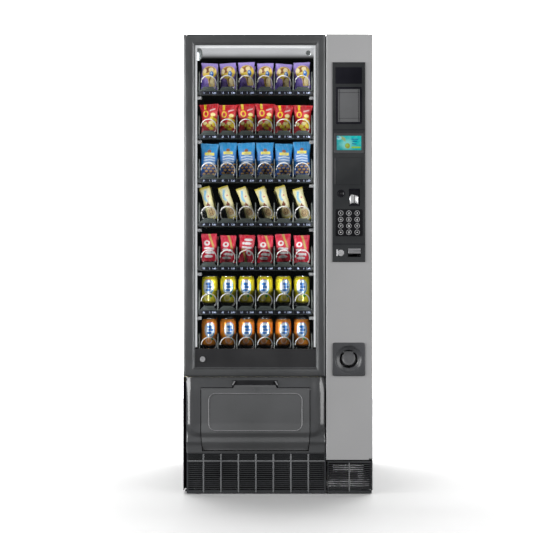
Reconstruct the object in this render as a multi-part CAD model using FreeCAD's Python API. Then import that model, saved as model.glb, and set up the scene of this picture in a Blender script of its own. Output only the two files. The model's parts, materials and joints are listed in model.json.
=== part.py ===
"""Spiral snack vending machine: glass door, payment column, seven spiral trays and a delivery bin.

Millimetres. +Z is up, the front faces -Y and +X is to the right of somebody standing in front.
The origin is on the floor, under the middle of the cabinet.
"""
import FreeCAD
import Part
import math
import os

Vector = FreeCAD.Vector
ALONG_X = Vector(1, 0, 0)
ALONG_Y = Vector(0, 1, 0)
ALONG_Z = Vector(0, 0, 1)

# ---- driving dimensions of the whole machine ----
WIDTH = 754.0
DEPTH = 860.0
HEIGHT = 1830.0
SIDE = WIDTH / 2
BACK = DEPTH / 2
SHEET = 2.0                      # cabinet sheet steel
CABINET_FRONT = -372.0           # front edge of the cabinet walls, behind both doors
DOOR_FACE = -420.0               # outer face of both doors
DOOR_DEPTH = 38.0
DOOR_REAR = DOOR_FACE + DOOR_DEPTH
FLOOR_GAP = 14.0                 # underside of the cabinet above the floor
MOVING_GAP = 0.3                 # clearance between pieces that move past each other
PIN_GAP = 0.05                   # radial clearance of a hinge pin

# ---- glass door ----
DOOR_RIGHT = 190.0
DOOR_BOTTOM = 466.0
WINDOW_LEFT = -329.0
WINDOW_RIGHT = 150.0
WINDOW_BOTTOM = 504.0
WINDOW_TOP = 1786.0
REBATE = 5.0                     # the glass sits this far behind the window's edge
FRAME_LIP = 5.5                  # thickness of the frame's front lip
FRAME_WALL = 3.0
PANE = 4.0
BAND_TOP = 577.0
LOCK_X = -300.0
LOCK_Z = 536.0
LOCK_RADIUS = 10.5
GASKET_WIDTH = 14.0

# ---- hinges of the two doors ----
HINGE_INSET = 6.5                # pin axis from the door's outer side and from its face
HINGE_PIN_RADIUS = 4.0
HINGE_PIN_LENGTH = 16.0
HINGE_PLATE = 3.0
HINGE_PLATE_WIDTH = 14.0
HINGE_NOTCH = 6.5                # height cut from a door's corner for its hinge plate

# ---- payment column door ----
COLUMN_LEFT = 192.5
COLUMN_RIGHT = SIDE - 0.1
COLUMN_BOTTOM = 136.0
COLUMN_FLANGE = 18.0             # depth of the free edge, which swings past the glass door
COLUMN_REAR = -376.0             # rear edge of the hinge side
MODULE_LEFT = 217.0
MODULE_RIGHT = 347.0
MODULE_BOTTOM = 923.0
MODULE_TOP = 1717.0
MODULE_FACE = DOOR_FACE - 6.0
MODULE_WALL = 8.0
MODULE_DEPTH = 20.0
COLUMN_MIDDLE = (MODULE_LEFT + MODULE_RIGHT) / 2
SEAM_HEIGHTS = (1448.0, 994.0)
KEY_RADIUS = 11.5
KEY_PITCH_X = 32.6
KEY_PITCH_Z = 25.4
KEYPAD_MIDDLE_Z = 1079.0
KEY_NAMES = ("1", "2", "3", "4", "5", "6", "7", "8", "9", "clear", "0", "enter")
REJECT_X = 251.0
REJECT_Z = 1195.0
REJECT_RADIUS = 12.0
COLUMN_LOCK_X = 250.0
COLUMN_LOCK_Z = 959.0
COLUMN_LOCK_RADIUS = 9.7
CUP_Z = 536.0
CUP_DISH_RADIUS = 53.8
CUP_BORE_RADIUS = 36.0
CUP_BACK = DOOR_FACE + 70.0
CUP_FLAP_Y = MODULE_FACE + 20.0
CUP_FLAP_Z = CUP_Z + 28.0

# ---- delivery bin ----
BIN_LEFT = -366.0
BIN_RIGHT = 190.5
BIN_BOTTOM = 163.0
BIN_TOP = 463.5
BIN_FACE = -430.0
BIN_REAR = -398.0
FLAP_LEFT = -305.0
FLAP_RIGHT = 126.0
FLAP_BOTTOM = 172.0
FLAP_TOP = 421.0
FLAP_THICK = 10.0
FLAP_AXIS_Y = -417.0
FLAP_AXIS_Z = FLAP_TOP - FLAP_THICK / 2
BUCKET_WALL = 3.0
BUCKET_REAR = -192.0
BUCKET_TOP = 438.0
GUARD_AXIS_Y = -288.0
GUARD_AXIS_Z = 430.0
GUARD_LENGTH = 75.0

# ---- cold compartment ----
FOAM_SIDE = 28.0
COLD_LEFT = -SIDE + SHEET + FOAM_SIDE
COLD_RIGHT = 166.5
COLD_BACK = 400.0
COLD_TOP = 1798.0
COLD_FLOOR = 468.0
DECK_HEIGHT = 440.0              # sheet deck over the machinery bay
DROP_SLOT_REAR = -285.0          # goods fall to the bin in front of this line
LINER = 1.5

# ---- trays and spirals ----
TRAY_COUNT = 7
TRAY_PITCH = 178.0
TOP_TRAY_Z = 1610.0              # middle of the highest tray's price rail
TRAY_MIDDLE_X = -90.0
COLUMNS = 6
COLUMN_PITCH = 76.4
DIVIDER = 3.0
TRAY_FRONT = -322.0
TRAY_DECK_END = 240.0
DECK_ABOVE_RAIL = 10.0
DIVIDER_HEIGHT = 88.0
WING = 20.0
COIL_RADIUS = 30.3               # to the middle of the wire
WIRE_RADIUS = 2.2                # to the corners of the wire's hexagonal section
WIRE_SIDES = 6
COIL_LENGTH = 544.0
COIL_TURNS = 8                   # for bags and bars
CAN_COIL_TURNS = 5               # for the two lowest trays, which hold cans
CAN_TRAYS = (5, 6)
COIL_SIDES = 12                  # straight lengths in a turn
COIL_FRONT = -308.0
COIL_ABOVE_RAIL = 44.0
TURNING_TRAY = 1                 # the tray whose first spiral turns on its own joint
TURNING_COLUMN = 0

# ---- cooling fan ----
FAN_X = -145.0
FAN_Z = 200.0
FAN_Y = -92.0
FAN_RADIUS = 118.0

# ---- base, feet and grilles ----
FRAME_BAR = 30.0
FOOT_X = 355.0
FOOT_Y = 345.0
GRILLE_FACE = -420.0
GRILLE_THICK = 8.0
SLAT_PITCH = 8.1
SLOT_HEIGHT = 4.9
RIB_PITCH = 69.5
RIB_WIDTH = 7.0
GRILLE_FOOT = 3.0


def block(x_range, y_range, z_range):
    """Axis-aligned box between two corners."""
    size = [high - low for low, high in (x_range, y_range, z_range)]
    return Part.makeBox(*size, Vector(x_range[0], y_range[0], z_range[0]))


def rod(start, direction, radius, length):
    """Round bar from a start point."""
    return Part.makeCylinder(radius, length, Vector(*start), direction)


def plate_yz(points, x_low, x_high):
    """Flat plate whose outline is given as (y, z) points, between two x positions."""
    outline = Part.makePolygon([Vector(x_low, y, z) for y, z in points + points[:1]])
    return Part.Face(outline).extrude(Vector(x_high - x_low, 0, 0))


def plate_xz(points, y_low, y_high):
    """Flat plate whose outline is given as (x, z) points, between two y positions."""
    outline = Part.makePolygon([Vector(x, y_low, z) for x, z in points + points[:1]])
    return Part.Face(outline).extrude(Vector(0, y_high - y_low, 0))


def vertical_edges(shape, x, y):
    """The vertical edges of a shape that stand at one (x, y)."""
    found = []
    for edge in shape.Edges:
        ends = edge.Vertexes
        if len(ends) == 2 and all(abs(v.X - x) < 0.01 and abs(v.Y - y) < 0.01 for v in ends):
            found.append(edge)
    return found


def edges_along(shape, axis, limit):
    """Straight edges that run along one axis and are at least `limit` long."""
    found = []
    for edge in shape.Edges:
        if isinstance(edge.Curve, Part.Line) and edge.Length > limit:
            if abs(edge.tangentAt(edge.FirstParameter).dot(axis)) > 0.999:
                found.append(edge)
    return found


# ---------------------------------------------------------------- cabinet
def rear_slots():
    """Rows of cooling-air slots in the back panel, behind the machinery bay."""
    slots = []
    for row in range(14):
        for column in range(3):
            left = -300.0 + column * 140.0
            low = 90.0 + row * 22.0
            slots.append(block((left, left + 120.0), (BACK - 10, BACK + 10), (low, low + 8.0)))
    return Part.makeCompound(slots)


def foot_centres():
    """(x, y) of the four feet."""
    return [(sx * FOOT_X, sy * FOOT_Y) for sx in (-1, 1) for sy in (-1, 1)]


def cabinet_shell():
    """Sheet-steel outer cabinet with its payment-bay partition, machinery deck and side skirts."""
    outer = block((-SIDE, SIDE), (CABINET_FRONT, BACK), (FLOOR_GAP, HEIGHT))
    inner = block((-SIDE + SHEET, SIDE - SHEET), (CABINET_FRONT - 1, BACK - SHEET),
                  (FLOOR_GAP + SHEET, HEIGHT - SHEET))
    shell = outer.cut(inner)
    partition = block((DOOR_RIGHT, DOOR_RIGHT + SHEET), (CABINET_FRONT, BACK - SHEET),
                      (FLOOR_GAP + SHEET + FRAME_BAR, HEIGHT - SHEET))
    deck = block((-SIDE + SHEET, DOOR_RIGHT), (DROP_SLOT_REAR, BACK - SHEET),
                 (DECK_HEIGHT, DECK_HEIGHT + SHEET))
    skirt_front = GRILLE_FACE + GRILLE_THICK
    left_skirt = block((-SIDE, -SIDE + SHEET), (skirt_front, CABINET_FRONT), (FLOOR_GAP, BIN_TOP))
    right_skirt = block((SIDE - SHEET, SIDE), (skirt_front, CABINET_FRONT),
                        (FLOOR_GAP, COLUMN_BOTTOM - 3))
    shell = shell.multiFuse([partition, deck, left_skirt, right_skirt]).removeSplitter()
    inlet_hole = block((266, 294), (BACK - 10, BACK + 10), (110, 130))
    foot_holes = [rod((x, y, 0), ALONG_Z, 7.0, 40.0) for x, y in foot_centres()]
    return shell.cut(Part.makeCompound([rear_slots(), inlet_hole] + foot_holes))


def foam_insulation():
    """Foam around the cold compartment: sides, back, top and floor."""
    outer = block((-SIDE + SHEET, DOOR_RIGHT), (CABINET_FRONT, BACK - SHEET),
                  (DECK_HEIGHT + SHEET, HEIGHT - SHEET))
    cavity = block((COLD_LEFT, COLD_RIGHT), (CABINET_FRONT - 1, COLD_BACK), (COLD_FLOOR, COLD_TOP))
    slot = block((COLD_LEFT, COLD_RIGHT), (CABINET_FRONT - 1, DROP_SLOT_REAR), (0, COLD_FLOOR + 1))
    return outer.cut(cavity).cut(slot)


def inner_liner():
    """Thin sheet lining of the cold compartment, open at the front and over the drop slot."""
    outer = block((COLD_LEFT, COLD_RIGHT), (CABINET_FRONT, COLD_BACK), (COLD_FLOOR, COLD_TOP))
    cavity = block((COLD_LEFT + LINER, COLD_RIGHT - LINER), (CABINET_FRONT - 1, COLD_BACK - LINER),
                   (COLD_FLOOR + LINER, COLD_TOP - LINER))
    slot = block((COLD_LEFT + LINER, COLD_RIGHT - LINER), (CABINET_FRONT - 1, DROP_SLOT_REAR),
                 (0, COLD_FLOOR + LINER + 1))
    return outer.cut(cavity).cut(slot)


def base_frame():
    """Ring of folded channel, open downwards, with the machinery floor and the front bracket."""
    low = FLOOR_GAP + SHEET
    top = low + FRAME_BAR
    half_x, front, rear = 370.0, -360.0, 420.0
    ring = block((-half_x, half_x), (front, rear), (low, top))
    ring = ring.cut(block((-half_x + FRAME_BAR, half_x - FRAME_BAR),
                          (front + FRAME_BAR, rear - FRAME_BAR), (low, top)))
    pocket = block((-half_x + 3, half_x - 3), (front + 3, rear - 3), (low - 1, top - 3))
    pocket = pocket.cut(block((-half_x + FRAME_BAR - 3, half_x - FRAME_BAR + 3),
                              (front + FRAME_BAR - 3, rear - FRAME_BAR + 3), (low - 1, top)))
    floor = block((-half_x + FRAME_BAR, half_x - FRAME_BAR), (front + FRAME_BAR, rear - FRAME_BAR),
                  (top - 3, top))
    bracket_bar = block((223, 347), (-356, -350), (80, 108))
    bracket_leg = block((323, 347), (-356, -350), (top, 80))
    return ring.cut(pocket).multiFuse([floor, bracket_bar, bracket_leg]).removeSplitter()


def levelling_feet():
    """Four adjustable feet: a round pad under a threaded stud."""
    feet = []
    stud_top = FLOOR_GAP + SHEET + FRAME_BAR - 3
    for x, y in foot_centres():
        pad = Part.makeCone(20.0, 13.0, 9.0, Vector(x, y, 0))
        stud = rod((x, y, 5.0), ALONG_Z, 6.0, stud_top - 5.0)
        feet.append(pad.fuse(stud).removeSplitter())
    return feet


def slatted_panel(x_range, z_range, open_x, open_z, rib_centres):
    """Grille plate whose opening is filled with level slats and upright ribs."""
    panel = block(x_range, (GRILLE_FACE, GRILLE_FACE + GRILLE_THICK), z_range)
    edges = [open_x[0]]
    for centre in rib_centres:
        edges += [centre - RIB_WIDTH / 2, centre + RIB_WIDTH / 2]
    edges.append(open_x[1])
    slots = []
    rows = int((open_z[1] - open_z[0] - SLOT_HEIGHT) / SLAT_PITCH) + 1
    for row in range(rows):
        top = open_z[1] - row * SLAT_PITCH
        for left, right in zip(edges[0::2], edges[1::2]):
            slots.append(block((left, right), (GRILLE_FACE - 1, GRILLE_FACE + GRILLE_THICK + 1),
                               (top - SLOT_HEIGHT, top)))
    return panel.cut(Part.makeCompound(slots))


def kick_grille_left():
    """Wide ventilation grille under the delivery bin: 3 slots, a bar and 14 slots below it."""
    left, right = -363.0, 190.5
    ribs = [-296.0 + RIB_PITCH * i for i in range(7)]
    panel = slatted_panel((left, right), (GRILLE_FOOT, BIN_BOTTOM - 1.5),
                          (left + 6, right - 6), (8.0, 157.5), ribs)
    bar = block((left + 6, right - 6), (GRILLE_FACE, GRILLE_FACE + GRILLE_THICK), (127.0, 134.5))
    return panel.fuse(bar).removeSplitter()


def kick_grille_right():
    """Ventilation grille under the payment column."""
    return slatted_panel((197.6, 373.3), (GRILLE_FOOT, 131.0), (201.0, 369.5), (10.0, 123.5), [284.0])


def compressor():
    """Hermetic refrigeration compressor: a domed can on a foot plate."""
    x, y, base = -110.0, 170.0, 46.0
    can = rod((x, y, base + 6), ALONG_Z, 80.0, 150.0)
    rim = [e for e in can.Edges if e.BoundBox.ZMin > base + 100 and isinstance(e.Curve, Part.Circle)]
    can = can.makeFillet(45.0, rim)
    foot = block((x - 95, x + 95), (y - 65, y + 65), (base, base + 6))
    pipe = rod((x + 40, y, base + 100), ALONG_Z, 6.0, 95.0)
    return can.multiFuse([foot, pipe]).removeSplitter()


def condenser():
    """Finned condenser block with the fan shroud, three struts and the fan motor behind it."""
    core = block((-330, 40), (-172, -128), (46, 354))
    grooves = [block((-326, 36), (-173, -168), (z, z + 6)) for z in range(58, 344, 14)]
    shroud = block((-300, 10), (-128, -96), (60, 340))
    throat = rod((FAN_X, -129, FAN_Z), ALONG_Y, FAN_RADIUS + 8, 40.0)
    motor = rod((FAN_X, -70, FAN_Z), ALONG_Y, 28.0, 40.0)
    shaft = rod((FAN_X, -100, FAN_Z), ALONG_Y, 4.0, 32.0)
    body = core.cut(Part.makeCompound(grooves)).fuse(shroud.cut(throat))
    struts = []
    for side in (-1, 1):
        arm = block((FAN_X + side * 20 - 6, FAN_X + side * 20 + 6), (-64, -58), (60, FAN_Z))
        leg = block((FAN_X + side * 20 - 6, FAN_X + side * 20 + 6), (-110, -58), (60, 66))
        struts += [arm, leg]
    return body.multiFuse([motor, shaft] + struts).removeSplitter()


def cooling_fan():
    """Five-bladed fan that turns on the motor's shaft."""
    hub = rod((0, 0, -12), ALONG_Z, 24.0, 20.0)
    blades = []
    for index in range(5):
        blade = block((18, FAN_RADIUS - 4), (-30, 30), (-1.2, 1.2))
        blade.rotate(Vector(0, 0, 0), ALONG_X, 24)
        blade.rotate(Vector(0, 0, 0), ALONG_Z, 72 * index)
        blades.append(blade)
    fan = hub.multiFuse(blades).common(rod((0, 0, -14), ALONG_Z, FAN_RADIUS, 28.0))
    fan = fan.cut(rod((0, 0, -30), ALONG_Z, 4.0 + PIN_GAP, 60.0))
    fan.rotate(Vector(0, 0, 0), ALONG_X, -90)
    fan.translate(Vector(FAN_X, FAN_Y, FAN_Z))
    return fan


def evaporator():
    """Finned evaporator at the back of the cold compartment, behind the lowest trays."""
    core = block((-300, 120), (312, 384), (474, 690))
    grooves = [block((x, x + 4), (311, 322), (480, 684)) for x in range(-292, 112, 12)]
    return core.cut(Part.makeCompound(grooves))


def mains_inlet():
    """Appliance inlet behind its hole in the back panel, with three contact blades."""
    rear = BACK - SHEET
    body = block((262, 298), (rear - 24, rear), (106, 134))
    body = body.cut(block((267, 293), (rear - 16, rear + 1), (111.5, 128.5)))
    blades = [block((x - 1, x + 1), (rear - 16, rear - 6), (117.5, 122.5)) for x in (273, 280, 287)]
    return body.multiFuse(blades).removeSplitter()


def coin_mechanism():
    """Coin changer in the payment bay: acceptor head over a block of coin tubes, on a back plate."""
    back_plate = block((215, 352), (-282, -279), (840, 1250))
    tubes = [rod((236 + 30.5 * i, -306, 850), ALONG_Z, 14.0, 210.0) for i in range(4)]
    base = block((218, 349), (-334, -282), (840, 862))
    head = block((222, 345), (-350, -282), (1050, 1235))
    slot = block((290, 296), (-351, -300), (1190, 1240))
    rear = block((218, 349), (-300, -282), (850, 1060))
    return head.cut(slot).multiFuse([back_plate, base, rear] + tubes).removeSplitter()


# ---------------------------------------------------------------- delivery bin
def flap_outline(grow):
    """(x, z) corners of the delivery flap, whose lower corners taper in, grown by a margin."""
    left, right = FLAP_LEFT - grow, FLAP_RIGHT + grow
    low, high = FLAP_BOTTOM - grow, FLAP_TOP + grow
    return [(left, high), (right, high), (right, FLAP_BOTTOM + 60), (right - 24, low),
            (left + 24, low), (left, FLAP_BOTTOM + 60)]


def bin_fascia():
    """Moulded surround of the delivery flap: a deep frame with a scooped front."""
    body = block((BIN_LEFT, BIN_RIGHT), (BIN_FACE, BIN_REAR), (BIN_BOTTOM, BIN_TOP))
    body = body.makeFillet(12.0, vertical_edges(body, BIN_LEFT, BIN_FACE)
                           + vertical_edges(body, BIN_RIGHT, BIN_FACE))
    opening = plate_xz(flap_outline(1.5), BIN_FACE - 1, BIN_REAR + 1)
    finger_notch = plate_xz([(-184, FLAP_TOP), (2, FLAP_TOP), (-12, 448), (-170, 448)],
                            BIN_FACE - 1, BIN_FACE + 14)
    inside = block((BIN_LEFT + 4, BIN_RIGHT - 4), (BIN_FACE + 18, BIN_REAR + 1),
                   (BIN_BOTTOM + 4, BIN_TOP - 4))
    rim = block((FLAP_LEFT - 9, FLAP_RIGHT + 9), (BIN_FACE + 4, BIN_REAR), (BIN_BOTTOM, FLAP_TOP + 9))
    body = body.cut(inside).fuse(rim).cut(opening).cut(finger_notch)
    pin_bore = rod((FLAP_LEFT - 6.5, FLAP_AXIS_Y, FLAP_AXIS_Z), ALONG_X, 3.0 + PIN_GAP,
                   FLAP_RIGHT - FLAP_LEFT + 13)
    return body.cut(pin_bore).removeSplitter()


def bin_flap():
    """Top-hung push flap with a raised centre panel, a rolled lower edge and two pivot stubs."""
    front = FLAP_AXIS_Y - FLAP_THICK / 2
    rear = FLAP_AXIS_Y + FLAP_THICK / 2
    flap = plate_xz(flap_outline(0.0), front, rear)
    top_edges = [e for e in edges_along(flap, ALONG_X, 200) if e.BoundBox.ZMin > FLAP_TOP - 1]
    flap = flap.makeFillet(FLAP_THICK / 2 - 0.01, top_edges)
    groove_outer = block((-275, 96), (front - 1, front + 2), (253, 400))
    groove_outer = groove_outer.makeFillet(27.0, edges_along(groove_outer, ALONG_Y, 1))
    groove_inner = block((-272, 93), (front - 2, front + 3), (256, 397))
    groove_inner = groove_inner.makeFillet(24.0, edges_along(groove_inner, ALONG_Y, 1))
    flap = flap.cut(groove_outer.cut(groove_inner))
    stubs = [rod((x, FLAP_AXIS_Y, FLAP_AXIS_Z), ALONG_X, 3.0, 7.0)
             for x in (FLAP_LEFT - 6, FLAP_RIGHT - 1)]
    return flap.multiFuse(stubs).removeSplitter()


def bin_bucket():
    """Open-topped bucket that catches the goods behind the flap."""
    left, right = FLAP_LEFT - 9, FLAP_RIGHT + 9
    outer = block((left, right), (BIN_REAR, BUCKET_REAR), (BIN_BOTTOM + 1, BUCKET_TOP))
    cavity = block((left + BUCKET_WALL, right - BUCKET_WALL), (BIN_REAR - 1, BUCKET_REAR - BUCKET_WALL),
                   (BIN_BOTTOM + 1 + BUCKET_WALL, BUCKET_TOP + 1))
    bores = rod((left - 1, GUARD_AXIS_Y, GUARD_AXIS_Z), ALONG_X, 2.5 + PIN_GAP, right - left + 2)
    return outer.cut(cavity).cut(bores)


def anti_theft_flap():
    """Hanging plate that swings up under the drop slot while the delivery flap is pushed."""
    left, right = FLAP_LEFT + 4, FLAP_RIGHT - 4
    plate = block((left, right), (GUARD_AXIS_Y - 1.5, GUARD_AXIS_Y + 1.5),
                  (GUARD_AXIS_Z - GUARD_LENGTH, GUARD_AXIS_Z))
    tube = rod((left, GUARD_AXIS_Y, GUARD_AXIS_Z), ALONG_X, 4.0, right - left)
    pin = rod((left - 12, GUARD_AXIS_Y, GUARD_AXIS_Z), ALONG_X, 2.5, right - left + 24)
    return plate.multiFuse([tube, pin]).removeSplitter()


# ---------------------------------------------------------------- hinges
def hinge_corners():
    """(x, y, z of the plate's underside, +1 for a pin that points up) of the four door hinges."""
    y = DOOR_FACE + HINGE_INSET
    left, right = -SIDE + HINGE_INSET, SIDE - HINGE_INSET
    top = HEIGHT - HINGE_NOTCH + 0.5
    return [(left, y, top, -1), (left, y, DOOR_BOTTOM + 2, 1),
            (right, y, top, -1), (right, y, COLUMN_BOTTOM + 2, 1)]


def hinge_pins():
    """Four hinge plates that reach forward from the cabinet, each with its pin."""
    hinges = []
    for x, y, z, up in hinge_corners():
        half = HINGE_PLATE_WIDTH / 2
        outer = math.copysign(half - 0.6, x)
        x_range = sorted((x + outer, x - math.copysign(half, x)))
        plate = block(x_range, (y, CABINET_FRONT), (z, z + HINGE_PLATE))
        nose = rod((x, y, z), ALONG_Z, half - 0.6, HINGE_PLATE)
        start = z if up < 0 else z + HINGE_PLATE
        pin = rod((x, y, start), ALONG_Z * up, HINGE_PIN_RADIUS, HINGE_PIN_LENGTH)
        hinges.append(plate.multiFuse([nose, pin]).removeSplitter())
    return hinges


def cut_hinge_corners(door, corners):
    """Notch a door round its hinge plates and drill it for the pins."""
    for x, y, z, up in corners:
        inner = x - math.copysign(HINGE_PLATE_WIDTH / 2 + 1.0, x)
        outer = x + math.copysign(HINGE_INSET + 1.0, x)
        if up < 0:
            z_range = (z - 0.5, z + HINGE_NOTCH + 1)
            hole_z = z - 0.5 - HINGE_PIN_LENGTH
        else:
            z_range = (z - 3, z + HINGE_PLATE + 0.5)
            hole_z = z + HINGE_PLATE
        notch = block(sorted((inner, outer)), (DOOR_FACE - 1, CABINET_FRONT), z_range)
        hole = rod((x, y, hole_z), ALONG_Z, HINGE_PIN_RADIUS + PIN_GAP, HINGE_PIN_LENGTH + 1)
        door = door.cut(notch).cut(hole)
    return door


# ---------------------------------------------------------------- glass door
def door_frame():
    """Extruded door frame: rounded hinge edge, bevelled window edge, channels open to the rear."""
    frame = block((-SIDE, DOOR_RIGHT), (DOOR_FACE, DOOR_REAR), (DOOR_BOTTOM, HEIGHT))
    frame = frame.makeFillet(HINGE_INSET, vertical_edges(frame, -SIDE, DOOR_FACE))
    frame = frame.makeFillet(4.0, vertical_edges(frame, DOOR_RIGHT, DOOR_FACE))
    bevel = 5.0
    window = block((WINDOW_LEFT, WINDOW_RIGHT), (DOOR_FACE - 1, DOOR_REAR + 1), (WINDOW_BOTTOM, WINDOW_TOP))
    rebate = block((WINDOW_LEFT - REBATE, WINDOW_RIGHT + REBATE), (DOOR_FACE + FRAME_LIP, DOOR_REAR + 1),
                   (WINDOW_BOTTOM - REBATE, WINDOW_TOP + REBATE))
    frame = frame.cut(window)
    inner_edges = [e for e in frame.Edges
                   if abs(e.BoundBox.YMin - DOOR_FACE) < 0.01 and abs(e.BoundBox.YMax - DOOR_FACE) < 0.01
                   and e.BoundBox.XMin > WINDOW_LEFT - 1 and e.BoundBox.XMax < WINDOW_RIGHT + 1
                   and e.BoundBox.ZMin > WINDOW_BOTTOM - 1 and e.BoundBox.ZMax < WINDOW_TOP + 1]
    frame = frame.makeChamfer(bevel, inner_edges)
    frame = frame.cut(rebate)
    y_range = (DOOR_FACE + FRAME_LIP + bevel, DOOR_REAR + 1)
    uprights = (DOOR_BOTTOM + 40, HEIGHT - 40)
    left = (-SIDE + FRAME_WALL, WINDOW_LEFT - REBATE - FRAME_WALL)
    right = (WINDOW_RIGHT + REBATE + FRAME_WALL, DOOR_RIGHT - FRAME_WALL)
    bottom = (DOOR_BOTTOM + FRAME_WALL, WINDOW_BOTTOM - REBATE - FRAME_WALL)
    top = (WINDOW_TOP + REBATE + FRAME_WALL, HEIGHT - FRAME_WALL)
    lengths = (WINDOW_LEFT, WINDOW_RIGHT)
    channels = [block(left, y_range, uprights), block(right, y_range, uprights),
                block(lengths, y_range, bottom), block(lengths, y_range, top)]
    frame = frame.cut(Part.makeCompound(channels))
    return cut_hinge_corners(frame, hinge_corners()[:2])


def door_glass():
    """Double glazing: two panes with an air gap."""
    x_range = (WINDOW_LEFT - REBATE, WINDOW_RIGHT + REBATE)
    z_range = (BAND_TOP, WINDOW_TOP + REBATE)
    front = DOOR_FACE + FRAME_LIP
    return [block(x_range, (y, y + PANE), z_range) for y in (front, front + 3 * PANE)]


def window_band():
    """Dark panel across the foot of the window, bored for the lock."""
    front = DOOR_FACE + FRAME_LIP
    band = block((WINDOW_LEFT - REBATE, WINDOW_RIGHT + REBATE), (front, front + 4 * PANE),
                 (WINDOW_BOTTOM - REBATE, BAND_TOP))
    hollow = block((WINDOW_LEFT, WINDOW_RIGHT), (front + 3, front + 5 * PANE),
                   (WINDOW_BOTTOM, BAND_TOP - 4))
    bore = rod((LOCK_X, front - 1, LOCK_Z), ALONG_Y, LOCK_RADIUS + MOVING_GAP, 20.0)
    return band.cut(hollow).cut(bore)


def lock(x, z, radius, face, rear, cam):
    """Cylinder lock: round barrel with a key slot and a cam at its rear end."""
    barrel = rod((x, face, z), ALONG_Y, radius, rear - face)
    collar = rod((x, face, z), ALONG_Y, radius * 0.62, 1.0)
    ring = rod((x, face, z), ALONG_Y, radius * 0.78, 1.0).cut(collar)
    key_slot = block((x - 1.1, x + 1.1), (face - 1, face + 9), (z - radius * 0.42, z + radius * 0.42))
    tongue = block((x - 6, x + 6), (rear - 3, rear), (z, z + cam))
    return barrel.cut(ring).cut(key_slot).fuse(tongue).removeSplitter()


def door_lock():
    """Lock at the lower left of the window."""
    return lock(LOCK_X, LOCK_Z, LOCK_RADIUS, DOOR_FACE + 2, DOOR_REAR - 2, 24.0)


def door_gasket():
    """Magnetic seal round the rear face of the glass door."""
    rear = CABINET_FRONT - 0.5
    x_range, z_range = (-SIDE + 5.5, DOOR_RIGHT - 4.5), (DOOR_BOTTOM + 8, HEIGHT - 9)
    ring = block(x_range, (DOOR_REAR, rear), z_range)
    opening = block((x_range[0] + GASKET_WIDTH, x_range[1] - GASKET_WIDTH), (DOOR_REAR - 1, rear + 1),
                    (z_range[0] + GASKET_WIDTH, z_range[1] - GASKET_WIDTH))
    lip_groove = block((x_range[0] + 5, x_range[1] - 5), (rear - 3, rear + 1),
                       (z_range[0] + 5, z_range[1] - 5))
    lip_groove = lip_groove.cut(block((x_range[0] + 9, x_range[1] - 9), (rear - 4, rear + 2),
                                      (z_range[0] + 9, z_range[1] - 9)))
    return ring.cut(opening).cut(lip_groove)


def led_strips():
    """Light strips down both sides of the window and across its top, behind the glass."""
    front = DOOR_FACE + FRAME_LIP + 4 * PANE
    y_range = (front, front + 10)
    left_edge, right_edge = WINDOW_LEFT - REBATE, WINDOW_RIGHT + REBATE
    top_edge = WINDOW_TOP + REBATE
    return [block((left_edge, left_edge + 11), y_range, (BAND_TOP + 6, top_edge - 14)),
            block((right_edge - 11, right_edge), y_range, (BAND_TOP + 6, top_edge - 14)),
            block((left_edge, right_edge), y_range, (top_edge - 12, top_edge))]


# ---------------------------------------------------------------- payment column door
def column_outline(inset, z_low, z_high):
    """The column door's plan outline as a solid, moved inwards by `inset` except at its open rear."""
    left, right = COLUMN_LEFT + inset, COLUMN_RIGHT - inset
    front = DOOR_FACE + inset
    points = [(left, front), (right, front), (right, COLUMN_REAR), (left + 30, COLUMN_REAR),
              (left, DOOR_FACE + COLUMN_FLANGE)]
    outline = Part.makePolygon([Vector(x, y, z_low) for x, y in points + points[:1]])
    return Part.Face(outline).extrude(Vector(0, 0, z_high - z_low))


def column_panel():
    """Folded sheet-steel door of the payment column, cut out for its modules."""
    outer = column_outline(0.0, COLUMN_BOTTOM, HEIGHT)
    outer = outer.makeFillet(3.0, vertical_edges(outer, COLUMN_LEFT, DOOR_FACE)
                             + vertical_edges(outer, COLUMN_RIGHT, DOOR_FACE))
    inside = column_outline(SHEET, COLUMN_BOTTOM + SHEET, HEIGHT - SHEET)
    rear_opening = block((COLUMN_LEFT + 34, COLUMN_RIGHT - SHEET), (COLUMN_REAR - 1, COLUMN_REAR + 1),
                         (COLUMN_BOTTOM + SHEET, HEIGHT - SHEET))
    panel = outer.cut(inside).cut(rear_opening)
    blocks = []
    for x, y, z, up in hinge_corners()[2:]:
        z_low = z - 0.5 - HINGE_PIN_LENGTH if up < 0 else z + HINGE_PLATE + 0.5
        blocks.append(block((x - 7.5, COLUMN_RIGHT - SHEET), (DOOR_FACE + SHEET, DOOR_FACE + COLUMN_FLANGE),
                            (z_low, z_low + HINGE_PIN_LENGTH)))
    panel = panel.multiFuse(blocks)
    module_hole = block((MODULE_LEFT + 3, MODULE_RIGHT - 3), (DOOR_FACE - 1, DOOR_FACE + 5),
                        (MODULE_BOTTOM + 3, MODULE_TOP - 3))
    cup_hole = rod((COLUMN_MIDDLE, DOOR_FACE - 1, CUP_Z), ALONG_Y, CUP_DISH_RADIUS + 2, 6.0)
    panel = panel.cut(module_hole).cut(cup_hole)
    return cut_hinge_corners(panel, hinge_corners()[2:]).removeSplitter()


def key_centres():
    """(x, z) of the twelve keys, in the order of their names."""
    centres = []
    for index in range(12):
        row, column = divmod(index, 3)
        centres.append((COLUMN_MIDDLE + (column - 1) * KEY_PITCH_X,
                        KEYPAD_MIDDLE_Z + (1.5 - row) * KEY_PITCH_Z))
    return centres


def recess(x_range, z_range, depth, radius):
    """Rounded pocket cut into the module's face."""
    pocket = block(x_range, (MODULE_FACE - 1, MODULE_FACE + depth), z_range)
    return pocket.makeFillet(radius, edges_along(pocket, ALONG_Y, depth / 2))


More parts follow.
